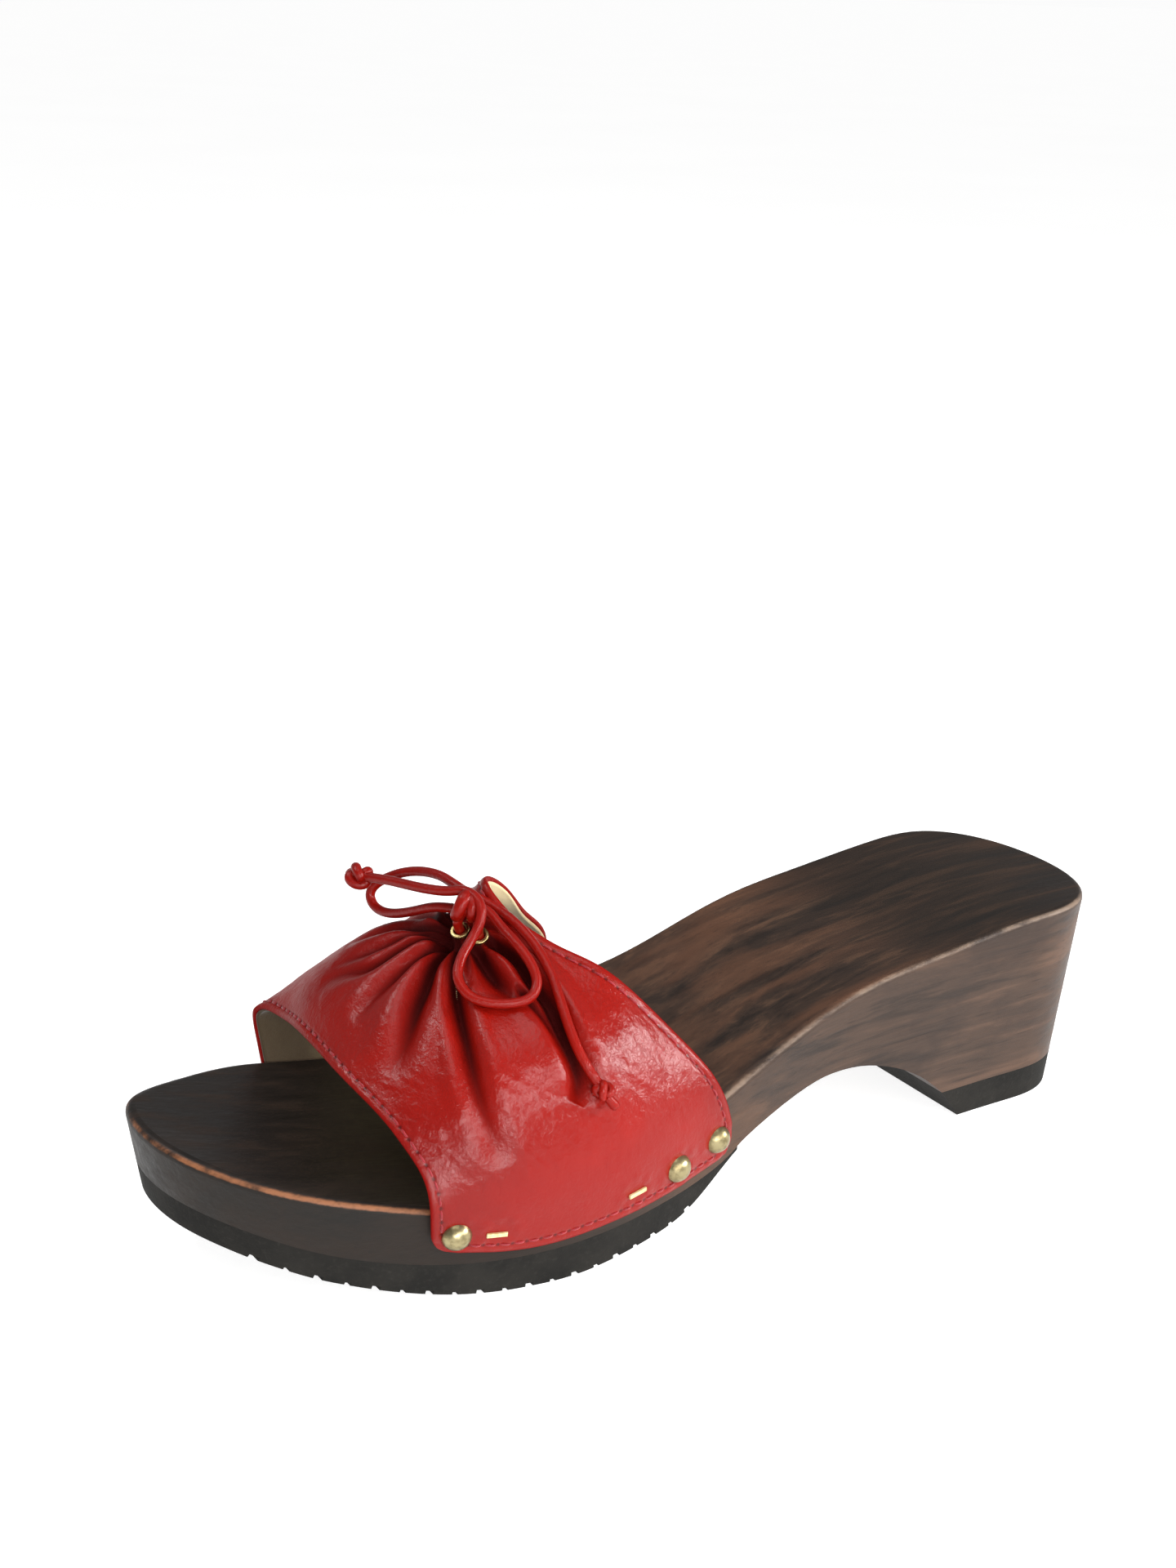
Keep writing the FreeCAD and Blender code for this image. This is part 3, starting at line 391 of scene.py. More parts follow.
# ------------------------------------------------------------------ laces
LACE_D = 2.2 * MM
LACE_LATERAL = [
    (7.3, -51.5, 68.6), (7.9, -52.1, 70.0), (7.9, -52.1, 71.4), (7.0, -51.8, 72.6), (5.4, -51.4, 73.2),
    (3.4, -51.3, 72.9), (0.9, -51.8, 72.3), (-2.6, -53.4, 72.1), (-7.4, -55.0, 70.8), (-13.8, -56.4, 67.6),
    (-20.0, -57.5, 65.0), (-24.6, -58.4, 64.1), (-27.5, -59.0, 64.9), (-28.9, -59.0, 67.0), (-28.3, -57.9, 69.2),
    (-26.2, -56.1, 71.2), (-22.4, -54.0, 73.5), (-17.3, -52.2, 75.3), (-11.2, -50.9, 76.3), (-5.8, -50.5, 76.1),
    (-1.4, -49.9, 75.5), (1.8, -48.0, 74.6), (4.8, -45.8, 73.0), (10.0, -44.4, 71.7), (16.3, -42.9, 68.3),
    (23.2, -42.8, 63.9), (29.4, -44.4, 60.0), (35.1, -45.4, 55.4), (39.6, -45.1, 50.8), (42.6, -43.4, 46.9)]
LACE_MEDIAL = [
    (3.4, -53.9, 68.9), (4.0, -55.0, 70.7), (4.5, -55.1, 72.6), (4.8, -53.6, 74.3), (5.4, -51.2, 74.9),
    (7.1, -49.0, 73.9), (10.8, -48.1, 71.3), (17.6, -47.6, 69.3), (22.2, -47.0, 66.3), (25.3, -47.6, 63.5),
    (26.9, -50.4, 61.4), (25.8, -54.6, 60.8), (23.2, -59.0, 61.0), (20.0, -61.9, 62.1), (16.2, -62.4, 65.0),
    (12.9, -59.2, 67.7), (10.9, -55.5, 70.0), (10.4, -53.1, 73.0), (9.0, -51.8, 75.8), (6.0, -51.7, 77.6),
    (2.4, -52.6, 77.9), (-1.5, -54.4, 76.4), (-7.5, -56.4, 75.3), (-13.7, -58.0, 74.5), (-19.9, -59.7, 73.8),
    (-24.8, -61.4, 72.9)]


def mm_point(p):
    return Vector(((p[0] + SHIFT[0]) * MM, (p[1] + SHIFT[1]) * MM, (p[2] + SHIFT[2]) * MM))


def lace(name, route):
    data = bpy.data.curves.new(name, "CURVE")
    data.dimensions = "3D"
    spline = data.splines.new("NURBS")
    spline.points.add(len(route) - 1)
    for i, p in enumerate(route):
        spline.points[i].co = (*mm_point(p), 1.0)
    spline.order_u = 3
    spline.use_endpoint_u = True
    spline.resolution_u = 10
    data.resolution_u = 10
    data.bevel_depth = LACE_D / 2
    data.bevel_resolution = 6
    data.use_fill_caps = True
    data.materials.append(MAT["lace_leather"])
    return link(bpy.data.objects.new(name, data))


def centre_length(obj):
    """Length of a curve's own line, and its points."""
    bare = bpy.data.objects.new("bare", obj.data.copy())
    bare.data.bevel_depth = 0
    mesh = bpy.data.meshes.new_from_object(bare)
    pts = np.array([v.co for v in mesh.vertices], float).reshape(-1, 3)
    bpy.data.meshes.remove(mesh)
    bpy.data.curves.remove(bare.data)
    return float(np.linalg.norm(np.diff(pts, axis=0), axis=1).sum()), pts


def swept(name, path, radius, slot, sides=14, closed=False, caps=True):
    """A tube mesh along points, with a radius for each point."""
    path = np.array(path, float)
    n = len(path)
    radius = np.full(n, radius, float) if np.isscalar(radius) else np.array(radius, float)
    tan = np.gradient(path, axis=0) if not closed else np.roll(path, -1, 0) - np.roll(path, 1, 0)
    tan /= np.linalg.norm(tan, axis=1, keepdims=True)
    ref = np.array([0.3, 0.2, 0.93])
    rings = []
    side = np.cross(tan[0], ref)
    side /= np.linalg.norm(side)
    for i in range(n):
        side = side - tan[i] * (side @ tan[i])
        side /= np.linalg.norm(side)
        other = np.cross(tan[i], side)
        a = np.arange(sides) * 2 * math.pi / sides
        rings.append(path[i] + radius[i] * (np.cos(a)[:, None] * side + np.sin(a)[:, None] * other))
    verts = np.concatenate(rings)
    faces = []
    last = n if closed else n - 1
    for i in range(last):
        j = (i + 1) % n
        for a in range(sides):
            b = (a + 1) % sides
            faces.append((i * sides + a, i * sides + b, j * sides + b, j * sides + a))
    if caps and not closed:
        faces.append(tuple(range(sides))[::-1])
        faces.append(tuple((n - 1) * sides + a for a in range(sides)))
    mesh = bpy.data.meshes.new(name)
    mesh.from_pydata([tuple(v) for v in verts], [], faces)
    mesh.materials.append(MAT[slot])
    for p in mesh.polygons:
        p.use_smooth = len(p.vertices) == 4
    mesh.validate()
    return link(bpy.data.objects.new(name, mesh))


def joined(name, objs):
    """Several meshes as one object."""
    verts, faces, smooth, base = [], [], [], 0
    mat = objs[0].data.materials[0]
    for o in objs:
        verts += [tuple(v.co) for v in o.data.vertices]
        faces += [tuple(i + base for i in p.vertices) for p in o.data.polygons]
        smooth += [p.use_smooth for p in o.data.polygons]
        base += len(o.data.vertices)
        bpy.data.objects.remove(o)
    mesh = bpy.data.meshes.new(name)
    mesh.from_pydata(verts, [], faces)
    mesh.materials.append(mat)
    for p, s in zip(mesh.polygons, smooth):
        p.use_smooth = s
    return link(bpy.data.objects.new(name, mesh))


def end_knot(name, route, turn, tip_lean, tip_len, size=1.0):
    """A pulled-tight overhand knot on the end of a lace, with the short cut end beyond it."""
    e = np.array(mm_point(route[-1]))
    d = e - np.array(mm_point(route[-2]))
    d /= np.linalg.norm(d)
    ref = np.array([0.0, 0.0, 1.0])
    x = np.cross(ref, d)
    x /= np.linalg.norm(x)
    y = np.cross(d, x)
    c, s = math.cos(turn), math.sin(turn)
    x, y = c * x + s * y, -s * x + c * y
    centre = e + d * 2.3 * MM * size
    th = np.linspace(0, 2 * math.pi, 96, endpoint=False)
    big, small, tall, r = 1.12 * MM * size, 0.68 * MM * size, 1.45 * MM * size, 0.98 * MM * size
    path = (centre + ((big + small * np.cos(3 * th)) * np.cos(2 * th))[:, None] * x
            + ((big + small * np.cos(3 * th)) * np.sin(2 * th))[:, None] * y
            + (tall * np.sin(3 * th))[:, None] * d)
    ring = swept(name + "_a", path, r * (1 + 0.06 * np.sin(5 * th + turn)), "lace_leather", 14, closed=True)
    stub = swept(name + "_b", [e - d * 0.4 * MM, e + d * 1.0 * MM, e + d * 2.6 * MM], [LACE_D / 2] * 3, "lace_leather")
    out_dir = d + tip_lean[0] * x + tip_lean[1] * y
    out_dir /= np.linalg.norm(out_dir)
    root = centre + d * 1.4 * MM
    k = np.linspace(0, 1, 7)
    tip_path = [root + (d * (1 - f) + out_dir * f) * tip_len * MM * f for f in k]
    tip = swept(name + "_c", tip_path, [0.9 * MM, 0.98 * MM, 1.02 * MM, 1.05 * MM, 1.1 * MM, 1.16 * MM, 1.08 * MM], "lace_leather")
    return joined(name, [ring, stub, tip])


def bow_knot(name, centre, axis, lift):
    """The lace drawn tight round the crossing of the two loops: two turns lying side by side."""
    a = np.array(axis, float)
    a /= np.linalg.norm(a)
    u = np.array(lift, float)
    u = u - a * (u @ a)
    u /= np.linalg.norm(u)
    w = np.cross(a, u)
    c = np.array(mm_point(centre))
    turns = []
    for i, (shift, tilt, ru, rw, r) in enumerate(((-0.9, 0.34, 2.1, 1.9, 1.55), (1.4, -0.12, 2.15, 2.0, 1.25))):
        th = np.linspace(0, 2 * math.pi, 72, endpoint=False)
        wob = 1 + 0.05 * np.sin(3 * th + 1.7 * i)
        path = (c + (ru * MM * wob * np.cos(th))[:, None] * u + (rw * MM * wob * np.sin(th))[:, None] * w
                + ((shift + tilt * ru * np.cos(th + 0.4 * i)) * MM)[:, None] * a)
        turns.append(swept(f"{name}_{i}", path, r * MM * (1 + 0.07 * np.sin(2 * th + i)), "lace_leather", 16, closed=True))
    # the filling of crossed strands inside the turns
    k = np.linspace(-1, 1, 9)
    core = [c + a * (2.3 * MM * f) + u * (0.25 * MM * f) for f in k]
    turns.append(swept(name + "_core", core, 2.3 * MM * np.sqrt(np.clip(1 - 0.8 * np.abs(k) ** 3, 0.05, 1)), "lace_leather", 16))
    return joined(name, turns)


lace_l = lace("lace_strand_lateral", LACE_LATERAL)
lace_m = lace("lace_strand_medial", LACE_MEDIAL)
knot_l = end_knot("lace_knot_lateral", LACE_LATERAL, 0.5, (0.25, -0.35), 3.2, 0.86)
knot_m = end_knot("lace_knot_medial", LACE_MEDIAL, 1.3, (-0.35, 0.75), 5.4, 1.15)
bow = bow_knot("lace_bow_knot", (4.6, -53.2, 74.9), (0.60, 0.78, -0.10), (-0.35, 0.2, 0.9))
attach(bow, "root")
for piece, node, slot in ((lace_l, "lace_lateral", "lace_leather"), (lace_m, "lace_medial", "lace_leather"),
                          (knot_l, "lace_end_knot_lateral", "lace_leather"), (knot_m, "lace_end_knot_medial", "lace_leather")):
    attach(piece, "root")
    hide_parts(node)
len_l, line_l = centre_length(lace_l)
len_m, line_m = centre_length(lace_m)
print("lace lengths", round(len_l * 1000, 1), round(len_m * 1000, 1))

# ------------------------------------------------------------------ leather surface
VAMP = np.array([
    [(38.2, -80.9, 15.0), (39.0, -81.3, 22), (36.6, -81.3, 30.5), (31, -83.2, 37.0), (24, -85.0, 41.6),
     (10, -86.2, 44.3), (-4, -85.8, 45.3), (-16, -84.5, 44.6), (-28, -82.3, 41.8), (-40, -81.9, 39.6),
     (-44.7, -82.1, 36.0), (-44.9, -81.3, 27), (-43.1, -79.5, 15)],
    [(43.1, -61.7, 11.9), (44.3, -62, 20), (44.4, -63.5, 29), (41, -66, 38.5), (34, -70, 46.5),
     (18, -74, 53), (0, -75.5, 56), (-14, -74, 56.5), (-27, -72, 53.5), (-38.5, -70, 46.8),
     (-44.8, -66, 37.5), (-45.6, -62, 25), (-44.6, -60, 12.5)],
    [(45.3, -42, 13), (45.6, -42.5, 21), (46.0, -44, 30), (43.2, -48, 41), (36.5, -54, 51),
     (20, -60, 59.5), (0, -64, 64), (-13, -61, 63.5), (-26, -57, 59.5), (-37, -53, 51),
     (-44.2, -48, 39), (-45.2, -43, 26), (-43.7, -41, 12.5)],
    [(42.8, -22.5, 14.8), (43.1, -22.5, 23), (43.4, -25, 32.5), (40.0, -30, 44), (32.5, -37, 55.5),
     (18, -45, 64.5), (0, -53, 70), (-12, -48, 67.5), (-24, -40, 60.5), (-34.5, -31, 50),
     (-41.4, -26, 37), (-42.8, -22.5, 26), (-41.3, -21.5, 14)],
    [(39.2, -5.0, 17), (39.3, -4.6, 24), (38.8, -9.8, 38.0), (34.0, -16.9, 48.0), (26.0, -28.9, 62.0),
     (13.5, -38.6, 67.9), (-0.5, -45.5, 77.4), (-10.0, -33.9, 69.6), (-20.0, -22.6, 58.6),
     (-29.0, -11.5, 47.0), (-35.8, -7.5, 34), (-38.2, -4.8, 25), (-37.7, -4.3, 17)]], float)
ACROSS = np.array([0, .048, .114, .185, .271, .381, .497, .585, .679, .775, .853, .926, 1])
ALONG = np.array([0, .254, .506, .77, 1])


def natural(xs, ys, q):
    """Natural cubic spline through ys (along its first axis) at xs, read at q."""
    n = len(xs)
    h = np.diff(xs)
    a = np.zeros((n, n))
    r = np.zeros((n,) + ys.shape[1:])
    a[0, 0] = a[-1, -1] = 1
    sh = (-1,) + (1,) * (ys.ndim - 1)
    slope = np.diff(ys, axis=0) / h.reshape(sh)
    for i in range(1, n - 1):
        a[i, i - 1], a[i, i], a[i, i + 1] = h[i - 1], 2 * (h[i - 1] + h[i]), h[i]
        r[i] = 6 * (slope[i] - slope[i - 1])
    mm = np.linalg.solve(a, r.reshape(n, -1)).reshape(r.shape)
    k = np.clip(np.searchsorted(xs, q) - 1, 0, n - 2)
    d = (q - xs[k]).reshape(sh)
    hk = h[k].reshape(sh)
    return ys[k] + d * (slope[k] - hk * (2 * mm[k] + mm[k + 1]) / 6) + d ** 2 * mm[k] / 2 + d ** 3 * (mm[k + 1] - mm[k]) / (6 * hk)


def surf(s, t):
    """Grid of points (along, across, 3) of the vamp's outer face before pleating, in mm."""
    a = natural(ACROSS, np.swapaxes(VAMP, 0, 1), np.asarray(s, float))
    return natural(ALONG, np.swapaxes(a, 0, 1), np.asarray(t, float))


def surf_points(st):
    return np.array([surf([s], [t])[0, 0] for s, t in st])


def grid_normals(p, ref=None):
    ds = np.gradient(p, axis=1)
    dt = np.gradient(p, axis=0)
    n = np.cross(dt, ds)
    n /= np.maximum(np.linalg.norm(n, axis=-1, keepdims=True), 1e-12)
    if n[p.shape[0] // 2, p.shape[1] // 2, 2] < 0:
        n = -n
    return n


def blur(a, sigma):
    """Gaussian blur of a grid, with the edges held."""
    r = int(3 * sigma + 1)
    w = np.exp(-0.5 * (np.arange(-r, r + 1) / sigma) ** 2)
    w /= w.sum()
    for ax in (0, 1):
        pad = [(0, 0)] * a.ndim
        pad[ax] = (r, r)
        q = np.pad(a, pad, mode="edge")
        out = np.zeros_like(a)
        for i, wi in enumerate(w):
            sl = [slice(None)] * a.ndim
            sl[ax] = slice(i, i + a.shape[ax])
            out += wi * q[tuple(sl)]
        a = out
    return a


def value_noise(x, y, seed):
    """Smooth noise from -1 to 1 on a plane."""
    xi, yi = np.floor(x).astype(int), np.floor(y).astype(int)
    fx, fy = x - xi, y - yi

    def h(i, j):
        v = np.sin(i * 127.1 + j * 311.7 + seed * 74.7) * 43758.5453
        return 2 * (v - np.floor(v)) - 1
    u, v = fx * fx * (3 - 2 * fx), fy * fy * (3 - 2 * fy)
    return ((h(xi, yi) * (1 - u) + h(xi + 1, yi) * u) * (1 - v) + (h(xi, yi + 1) * (1 - u) + h(xi + 1, yi + 1) * u) * v)


NS, NT = 420, 190
S = np.linspace(0, 1, NS)
T = np.linspace(0, 1, NT)
BASE = surf(S, T)
NRM = grid_normals(BASE)

# Rounded lower corners: the grid's corners are drawn in to a quarter circle.
L_ACROSS = np.linalg.norm(np.diff(BASE, axis=1), axis=2).sum(1).mean()
L_ALONG = [np.linalg.norm(np.diff(BASE[:, c], axis=0), axis=1).sum() for c in (0, -1)]
ss, tt = np.meshgrid(S, T)
ss0 = ss.copy()
CORNER_R = 4.2
for cs in (0, 1):
    for ct in (0, 1):
        la = L_ALONG[cs]
        up_mm = np.abs(ss - cs) * L_ACROSS
        al_mm = np.abs(tt - ct) * la
        inside = (up_mm < CORNER_R) & (al_mm < CORNER_R)
        u = 1 - up_mm / CORNER_R
        v = 1 - al_mm / CORNER_R
        x = u * np.sqrt(1 - v * v / 2)
        y = v * np.sqrt(1 - u * u / 2)
        up_new = (1 - x) * CORNER_R
        al_new = (1 - y) * CORNER_R
        ss = np.where(inside, np.abs(cs - up_new / L_ACROSS), ss)
        tt = np.where(inside, np.abs(ct - al_new / la), tt)


def remap(field):
    """A grid field read at the rounded parameters."""
    fs = np.clip(ss, 0, 1) * (NS - 1)
    ft = np.clip(tt, 0, 1) * (NT - 1)
    i = np.clip(np.floor(fs).astype(int), 0, NS - 2)
    j = np.clip(np.floor(ft).astype(int), 0, NT - 2)
    a, b = fs - i, ft - j
    if field.ndim == 3:
        a, b = a[..., None], b[..., None]
    return ((field[j, i] * (1 - a) + field[j, i + 1] * a) * (1 - b)
            + (field[j + 1, i] * (1 - a) + field[j + 1, i + 1] * a) * b)


# Lie on the CAD leather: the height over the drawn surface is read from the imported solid.
cad = NODES["vamp_outer"].data
cad_v = np.zeros(len(cad.vertices) * 3)
cad.vertices.foreach_get("co", cad_v)
cad_v = cad_v.reshape(-1, 3) / MM - SHIFT
tree = BVHTree.FromPolygons([tuple(v) for v in cad_v], [tuple(p.vertices) for p in cad.polygons])
height = np.zeros((NT, NS))
for j in range(NT):
    for i in range(NS):
        p, n = BASE[j, i], NRM[j, i]
        hit = tree.find_nearest(Vector(p + n * 2.2))
        height[j, i] = float((np.array(hit[0]) - p) @ n) if hit[0] is not None else 0.0
med = np.median(height)
height = np.clip(height, med - 2.0, med + 2.0)
for _ in range(2):
    height = blur(height, 1.6)
OUTER0 = BASE + NRM * height[..., None]
print("height over the drawn surface", round(height.min(), 2), round(height.max(), 2))

# ---- pleats: valley lines drawn on the leather as (across, along), with depth, start and end width in mm
GATHER = (0.492, 0.762)
PLEATS = [
    # drawn from the visible side
    ([(0.497, 0.737), (0.517, 0.66), (0.557, 0.556), (0.575, 0.436), (0.600, 0.34), (0.625, 0.25)], 2.6, 1.1, 2.6),
    ([(0.491, 0.718), (0.507, 0.656), (0.521, 0.587), (0.539, 0.436), (0.549, 0.34), (0.583, 0.259), (0.607, 0.181)], 2.6, 1.0, 2.4),
    ([(0.488, 0.715), (0.487, 0.595), (0.489, 0.494), (0.491, 0.394), (0.489, 0.266), (0.479, 0.166)], 2.4, 1.0, 2.4),
    ([(0.480, 0.715), (0.471, 0.606), (0.457, 0.517), (0.443, 0.436), (0.429, 0.367), (0.369, 0.178), (0.347, 0.116)], 3.6, 1.3, 3.0),
    ([(0.473, 0.715), (0.443, 0.591), (0.409, 0.498), (0.381, 0.444), (0.347, 0.39), (0.295, 0.317), (0.242, 0.266), (0.182, 0.236), (0.144, 0.225)], 3.2, 1.1, 2.4),
    ([(0.468, 0.726), (0.447, 0.664), (0.421, 0.587), (0.401, 0.537)], 2.2, 0.9, 1.6),
    ([(0.465, 0.741), (0.437, 0.695), (0.405, 0.645), (0.381, 0.625), (0.355, 0.615)], 4.2, 1.3, 2.6),
    ([(0.467, 0.768), (0.439, 0.776), (0.401, 0.768), (0.371, 0.726), (0.347, 0.703), (0.317, 0.672), (0.283, 0.637), (0.244, 0.602), (0.218, 0.564), (0.2, 0.517)], 4.2, 1.3, 2.4, 0.4),
    ([(0.371, 0.652), (0.345, 0.637), (0.311, 0.625), (0.275, 0.60), (0.235, 0.56)], 2.2, 1.2, 2.2),
    ([(0.473, 0.79), (0.459, 0.832), (0.429, 0.872), (0.403, 0.874), (0.379, 0.835), (0.353, 0.784)], 1.8, 1.1, 2.2),
    # far side
    ([(0.504, 0.745), (0.535, 0.66), (0.585, 0.58), (0.635, 0.48), (0.675, 0.36)], 2.8, 1.1, 2.8),
    ([(0.508, 0.755), (0.545, 0.715), (0.605, 0.66), (0.665, 0.58), (0.725, 0.49)], 3.2, 1.2, 2.8),
    ([(0.510, 0.768), (0.555, 0.765), (0.62, 0.745), (0.69, 0.705), (0.755, 0.65), (0.80, 0.59)], 3.4, 1.2, 2.8),
    ([(0.508, 0.785), (0.545, 0.815), (0.595, 0.835), (0.65, 0.825), (0.70, 0.79)], 2.4, 1.1, 2.4),
    # to the rear edge
    ([(0.490, 0.80), (0.486, 0.85), (0.484, 0.91)], 1.3, 0.9, 1.4),
    ([(0.500, 0.80), (0.508, 0.85), (0.516, 0.91)], 1.5, 0.9, 1.5),
]


def polyline_field(points):
    """For each grid vertex: distance to a line of points and how far along it the nearest place is, in mm."""
    best = np.full((NT, NS), 1e9)
    where = np.zeros((NT, NS))
    run = 0.0
    for a, b in zip(points[:-1], points[1:]):
        d = b - a
        ln = np.linalg.norm(d)
        w = np.clip(((BASE - a) @ d) / (ln * ln), 0, 1)
        dist = np.linalg.norm(BASE - a - w[..., None] * d, axis=-1)
        closer = dist < best
        best = np.where(closer, dist, best)
        where = np.where(closer, run + w * ln, where)
        run += ln
    return best, where, run


def smooth_line(st):
    """A drawn line with more points on a smooth curve through its own."""
    st = np.array(st, float)
    k = np.concatenate([[0], np.cumsum(np.linalg.norm(np.diff(st * np.array([178, 80]), axis=0), axis=1))])
    q = np.linspace(0, k[-1], max(8, int(k[-1] / 1.6)))
    return natural(k, st, q)


valley = np.zeros((NT, NS))
puff = np.zeros((NT, NS))
for st, depth, w0, w1, *fade in PLEATS:
    line = surf_points(smooth_line(st))
    dist, at, total = polyline_field(line)
    f = at / total
    amp = depth * np.clip(0.55 + at / 7.0, 0, 1) * (1 - f) ** (fade[0] if fade else 0.7)
    wid = w0 + (w1 - w0) * f
    v = amp * np.exp(-np.abs(dist / wid) ** 1.7)
    # smooth union, so that crossings aren't deeper than the deeper one
    valley = (valley ** 4 + v ** 4) ** 0.25
    p = 0.42 * amp * np.exp(-((dist - 2.3 * wid) / (1.2 * wid)) ** 2) * (1 - np.exp(-(at / 5.0) ** 2))
    puff = (puff ** 3 + p ** 3) ** (1 / 3.0)


def spot(st, radius):
    """A round falloff about one place on the leather."""
    c = surf_points([st])[0]
    return np.exp(-(np.linalg.norm(BASE - c, axis=-1) / radius) ** 2)


def spot_xyz(p, radius, power=2):
    return np.exp(-(np.linalg.norm(OUTER0 - np.array(p), axis=-1) / radius) ** power)


disp = puff * 1.0 - valley * 1.2
# the pit where the pleats run together beside the eyelets
pit = np.maximum(spot((0.503, 0.735), 2.3), spot_xyz((0.9, -56.9, 68.0), 2.5))
disp -= 3.8 * pit
disp += 2.2 * spot((0.545, 0.76), 4.5)
# belly between the two long pleats, and soft swells
disp += 1.3 * spot((0.315, 0.50), 10.0) + 0.7 * spot((0.44, 0.30), 9.0) + 0.6 * spot((0.53, 0.22), 8.0)
disp += 0.7 * spot((0.66, 0.42), 9.0) + 0.8 * spot((0.25, 0.80), 9.0)
disp += 0.9 * spot((0.452, 0.52), 3.4) * 1.0

# crinkles: shallow crossing folds on the sides, as mm coordinates on the leather
X = np.broadcast_to(S * L_ACROSS, (NT, NS))
Y = np.broadcast_to((T * 80)[:, None], (NT, NS))
ARC_T = np.zeros((NT, NS))
ARC_T[1:] = np.cumsum(np.linalg.norm(np.diff(BASE, axis=0), axis=2), axis=0)
ARC_S = np.zeros((NT, NS))
ARC_S[:, 1:] = np.cumsum(np.linalg.norm(np.diff(BASE, axis=1), axis=2), axis=1)
side_mask = np.clip(1.15 - np.abs(np.abs(X / L_ACROSS - 0.5) - 0.27) / 0.16, 0, 1)
c1 = value_noise((X * 0.9 + Y * 0.35) / 4.6, (Y * 0.9 - X * 0.35) / 2.4, 3)
c2 = value_noise((X * 0.8 - Y * 0.5) / 6.5, (Y * 0.85 + X * 0.5) / 3.2, 11)
c3 = value_noise(X / 1.9, Y / 1.4, 23)
near_side = np.where(X < L_ACROSS * 0.5, 0.6, 0.2)
disp += side_mask * near_side * (0.13 * (1 - np.abs(c1) * 2) + 0.12 * (1 - np.abs(c2) * 2)) + 0.015 * c3
swell = value_noise(X / 17.0, Y / 13.0, 5)
disp += 0.28 * swell

# keep: hems, eyelets and the nailed edge stay where the CAD leather is
edge_mm = np.minimum(ARC_T, ARC_T[-1:] - ARC_T)
side_mm = np.minimum(ARC_S, ARC_S[:, -1:] - ARC_S)
hold = np.clip((edge_mm - 0.6) / 6.0, 0, 1)
hold = hold * hold * (3 - 2 * hold)
hold_s = np.clip((side_mm - 6.0) / 10.0, 0, 1)
hold_s = hold_s * hold_s * (3 - 2 * hold_s)
disp = disp * hold * (0.12 + 0.88 * hold_s)
EYELETS = [(7.23, -51.44, 68.47), (3.36, -53.83, 68.78)]
for e in EYELETS:
    disp *= 1 - spot_xyz(e, 2.9, 4)
    disp -= 0.12 * spot_xyz(e, 2.4, 6)
# a slight pull round each nail and staple
for name, obj in NODES.items():
    if name.startswith("nail") or name.startswith("staple"):
        lo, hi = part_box(name)
        c = (np.array(lo) + np.array(hi)) / 2 / MM - SHIFT
        d = OUTER0 - c
        flat = np.linalg.norm(d[..., 1:], axis=-1)
        near = (np.sign(OUTER0[..., 0]) == np.sign(c[0])) & (np.abs(d[..., 0]) < 16)
        ang = np.arctan2(d[..., 2], d[..., 1])
        r0 = 3.3 if name.startswith("nail") else 2.4
        ring = np.exp(-((flat - r0 - 1.4) / 1.3) ** 2) * near
        disp += ring * (0.16 + 0.07 * np.sin(7 * ang + c[1]))
# hem: the leather is pressed down along its stitching and stands up a little at its edge
INSET = 2.1
hem_line = np.exp(-((edge_mm - INSET) / 0.45) ** 2)
hem_side = np.exp(-((side_mm - INSET) / 0.45) ** 2)
disp -= 0.14 * np.maximum(hem_line, hem_side)
lip = np.clip(1 - np.minimum(edge_mm, side_mm) / 1.4, 0, 1)
disp += 0.04 * np.exp(-((np.minimum(edge_mm, side_mm) - 1.0) / 0.6) ** 2) - 0.2 * lip ** 3
# the rear edge stands open at its top: its far half is raised and its near half lies low
rise = np.clip((ARC_T - ARC_T[-1:] + 13.0) / 13.0, 0, 1)
rise = rise * rise * (3 - 2 * rise)
disp += rise * (1.9 * np.exp(-((ss0 - 0.553) / 0.042) ** 2) - 0.9 * np.exp(-((ss0 - 0.432) / 0.035) ** 2))

OUTER1 = OUTER0 + NRM * disp[..., None]
N1 = grid_normals(blur(OUTER1, 1.0))
def read_at(field, s, t):
    fs = np.clip(s, 0, 1) * (NS - 1)
    ft = np.clip(t, 0, 1) * (NT - 1)
    i = np.clip(np.floor(fs).astype(int), 0, NS - 2)
    j = np.clip(np.floor(ft).astype(int), 0, NT - 2)
    a, b = (fs - i)[:, None], (ft - j)[:, None]
    return ((field[j, i] * (1 - a) + field[j, i + 1] * a) * (1 - b)
            + (field[j + 1, i] * (1 - a) + field[j + 1, i + 1] * a) * b)


def inset_run(which, lo, hi, count=400):
    """Points INSET mm inside one edge of the leather."""
    k = np.linspace(lo, hi, count)
    if which in ("front", "rear"):
        t_edge = 0.0 if which == "front" else 1.0
        sgn = 1 if which == "front" else -1
        p0 = surf(k, [t_edge])[0]
        p1 = surf(k, [t_edge + sgn * 0.02])[0]
        scale = np.linalg.norm(p1 - p0, axis=1) / 0.02
        s, t = k, t_edge + sgn * INSET / scale
    else:
        s_edge = 0.0 if which == "lateral" else 1.0
        sgn = 1 if which == "lateral" else -1
        p0 = surf([s_edge], k)[:, 0]
        p1 = surf([s_edge + sgn * 0.01], k)[:, 0]
        scale = np.linalg.norm(p1 - p0, axis=1) / 0.01
        s, t = s_edge + sgn * INSET / scale, k
    return read_at(OUTER1, s, t), read_at(N1, s, t)


